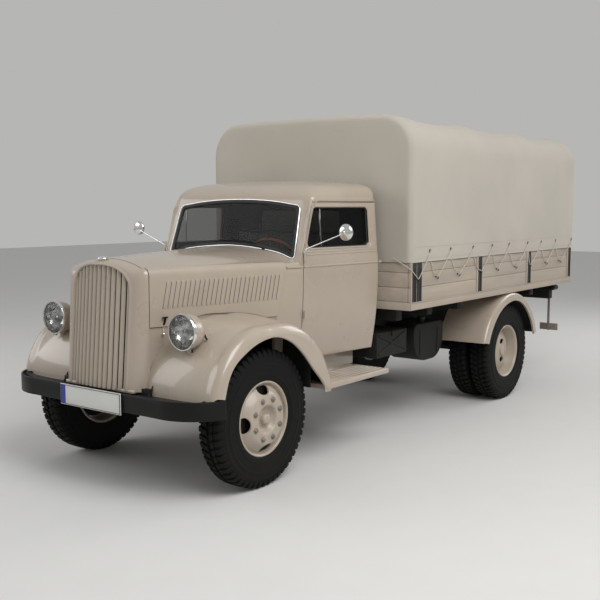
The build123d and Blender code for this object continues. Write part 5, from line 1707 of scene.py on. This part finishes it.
# Cabin: seats, steering wheel and mirrors
def pad(name, x, behind, z, face, seams_at):
    """A stuffed pad with stitched channels on its top or on its front."""
    wide, deep, tall = x[1] - x[0], behind[1] - behind[0], z[1] - z[0]

    def shape(u, v):
        edge_u = (1 - abs(2 * u - 1) ** 9) ** (1 / 9)
        edge_v = (1 - abs(2 * v - 1) ** 7) ** (1 / 7)
        swell = edge_u * edge_v
        groove = sum(exp(-(((u - s) * wide / 7) ** 2)) for s in seams_at) * 9 * min(edge_u, edge_v)
        puff = 12 * sin(pi * v) * sin(pi * u) ** 0.4
        if face == "top":
            return (mix(*x, u), mix(*behind, v), z[0] + (tall - 12) * swell + puff - groove)
        return (mix(*x, u), behind[1] - (deep - 12) * swell - puff + groove, mix(*z, v))

    piece = skin(name, 120, 30, shape)
    edit(piece, lambda: bpy.ops.mesh.fill_holes(sides=0), outwards)
    return piece


channels = [i / 10 for i in range(1, 10)]
cushion = pad("cushion", (-598, 598), (1032, 1483), (1041, 1190), "top", channels)
done(cushion, leather, ["seat_cushion"], angle=60)
backrest = pad("backrest", (-598, 598), (1424, 1518), (1192, 1658), "front", channels)
done(backrest, leather, ["seat_backrest"], angle=60)
wheel_axis = (0, sin(pi / 4), cos(pi / 4))
wheel_centre = (300, 897, 1472)
ring = [(12 * cos(2 * pi * i / 12), 205 + 12 * sin(2 * pi * i / 12)) for i in range(13)]
rim = turned("rim", ring, wheel_centre, wheel_axis, 72)
done(rim, wheel_brown, ["steering_wheel"], "steering_wheel_body")
side_axis = Vector((0, cos(pi / 4), -sin(pi / 4)))
boss_line = [(-34, 0), (-34, 26), (-6, 40), (2, 42), (10, 34), (14, 0)]
spokes = [turned("boss", boss_line, wheel_centre, wheel_axis, 32)]
for turn in (pi / 2, pi / 2 + 2 * pi / 3, pi / 2 + 4 * pi / 3):
    out = Vector((cos(turn), 0, 0)) + side_axis * sin(turn)
    centre = Vector(wheel_centre)
    hub = centre - Vector(wheel_axis) * 12
    spokes.append(wire("spoke", [hub + out * 30, hub + out * 110, centre + out * 200], 8, 3))
done(joined("wheel_spokes", spokes), cabin_black, body="steering_wheel_body")
from_node("steering_column", "column", 2, cabin_black)
knob_line = [(0, 0), (2, 12), (12, 20), (26, 20), (36, 12), (40, 0)]
lever = [
    wire("gear_lever", [(60, 1010, 774), (60, 1000, 960), (90, 1040, 1180)], 8, 3),
    turned("knob", knob_line, (90, 1040, 1176), (0, 0.1, 1), 20),
]
done(joined("gear_lever", lever), cabin_black)
pedals = []
for x in (210, 300, 400):
    pedals.append(wire("pedal_arm", [(x, 560, 1000), (x, 640, 900), (x, 690, 860)], 7, 2))
    pedals.append(box("pedal", (x - 32, x + 32), (672, 684), (834, 894), 3))
done(joined("pedals", pedals), chassis_paint)
arm_line = [(709, 670, 1528), (712, 668, 1552), (760, 670, 1570), (1036, 682, 1672)]
shell_line = [
    (-24, 0), (-24, 9), (-18, 13), (-14, 26), (-10, 40), (-3, 52), (6, 58), (14, 58), (15, 54), (6, 52),
    (4, 0),
]
arms = []
glasses = []
for side in (1, -1):
    centre = (side * 1043, 690, 1681)
    arms.append(wire("mirror_arm", [(side * x, b, z) for x, b, z in arm_line], 4.5, 3))
    foot = (side * 708, 671, 1527)
    arms.append(turned("mirror_foot", [(0, 0), (0, 10), (26, 9), (30, 0)], foot, (0, 0, 1), 16))
    arms.append(turned("mirror_shell", shell_line, centre, (0, 1, 0), 40))
    glasses.append(turned("mirror_glass", [(8, 0), (8, 53), (11, 53), (12, 0)], centre, (0, 1, 0), 40))
done(joined("mirror_arms", arms), chrome, ["mirrors"])
done(joined("mirror_glasses", glasses), chrome)

# Rear: lamps and the marker board
tail_line = [(0, 0), (4, 18), (14, 27), (30, 28), (132, 28), (138, 24), (138, 0)]
lens_line = [(136, 0), (136, 23), (142, 22), (148, 14), (150, 0)]
lamps = []
lenses = []
for side in (1, -1):
    place = (side * 888, 4895, 980)
    lamps.append(turned("tail_lamp", tail_line, place, (0, 1, 0), 32))
    lenses.append(turned("tail_lens", lens_line, place, (0, 1, 0), 32))
done(joined("tail_lamp_bodies", lamps), black_paint, ["tail_lamps"])
done(joined("tail_lamp_lenses", lenses), lens_red)
marker = [
    box("marker_face", (745, 947), (4954, 4964), (514, 588), 4),
    box("marker_post", (831, 858), (4944, 4955), (512, 862), 4),
    box("marker_strap", (826, 864), (4962, 4967), (530, 572), 2),
]
done(joined("marker", marker), marker_brown, ["marker_board"])
from_node("canvas_bows", "bows", 6, board_paint)

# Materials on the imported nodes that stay
kept_finish = {
    "board_wood": board_paint, "chassis_paint": chassis_paint, "canvas": canvas, "tyre_rubber": rubber,
    "wheel_paint": wheel_paint, "window_glass": window_glass, "lamp_paint": body_paint,
    "mirror_chrome": chrome, "seat_leather": leather, "steering_brown": wheel_brown,
    "column_paint": cabin_black, "engine_iron": engine_iron, "core_metal": core_black,
    "body_paint": body_paint,
}
slot_of = {row["node"]: row["material_slot"] for row in frame["record"]["subparts"]}
for node, thing in frame["nodes"].items():
    thing.data.materials.clear()
    thing.data.materials.append(kept_finish[slot_of[node]])

# Floor, light and camera
begin()
bpy.ops.mesh.primitive_plane_add(size=60, location=(0, 0, 0))
ground = bpy.context.object
ground.name = "floor_plane"
floor_paint = finish("floor_paint", (0.66, 0.655, 0.64), 0.85, vary=0.01, bump=0.0, specular=0.2)
ground.data.materials.append(floor_paint)
world = bpy.data.worlds.new("studio")
bpy.context.scene.world = world
world.use_nodes = True
tree = world.node_tree
soft = tree.nodes["Background"]
soft.inputs["Color"].default_value = (0.90, 0.90, 0.895, 1)
soft.inputs["Strength"].default_value = 0.52
pale = add(tree, "Background", {"Color": (0.47, 0.467, 0.455, 1), "Strength": 1})
path = add(tree, "LightPath", {})
blend = add(tree, "MixShader", {
    "Fac": path.outputs["Is Camera Ray"], 1: soft.outputs["Background"], 2: pale.outputs["Background"]})
tree.links.new(blend.outputs["Shader"], tree.nodes["World Output"].inputs["Surface"])


def lamp(name, place, target, size, power):
    light = bpy.data.lights.new(name, "AREA")
    light.shape = "RECTANGLE"
    light.size, light.size_y = size
    light.energy = power
    holder = bpy.data.objects.new(name, light)
    bpy.context.scene.collection.objects.link(holder)
    holder.location = place
    holder.rotation_euler = (Vector(place) - Vector(target)).to_track_quat("Z", "Y").to_euler()


lamp("key", (5.5, -3.0, 6.5), (0, 0, 1), (5, 5), 420)
lamp("fill", (-6, -6, 4), (0, -1, 1), (6, 4), 160)
lamp("back", (3.5, 7.5, 4.5), (0, 1.5, 1.5), (5, 3), 160)
bpy.context.scene.view_settings.view_transform = "Standard"
camera_place = (4586.7, -4518.8, 1862.6)
camera_heading, camera_pitch = -0.6472, -0.1038
camera_data = bpy.data.cameras.new("camera")
camera_data.lens = 54.08
camera_data.sensor_width = 36
camera = bpy.data.objects.new("camera", camera_data)
bpy.context.scene.collection.objects.link(camera)
camera.location = at(*camera_place)
level = cos(camera_pitch)
look = Vector((sin(camera_heading) * level, cos(camera_heading) * level, sin(camera_pitch)))
camera.rotation_euler = (-look).to_track_quat("Z", "Y").to_euler()
bpy.context.scene.camera = camera
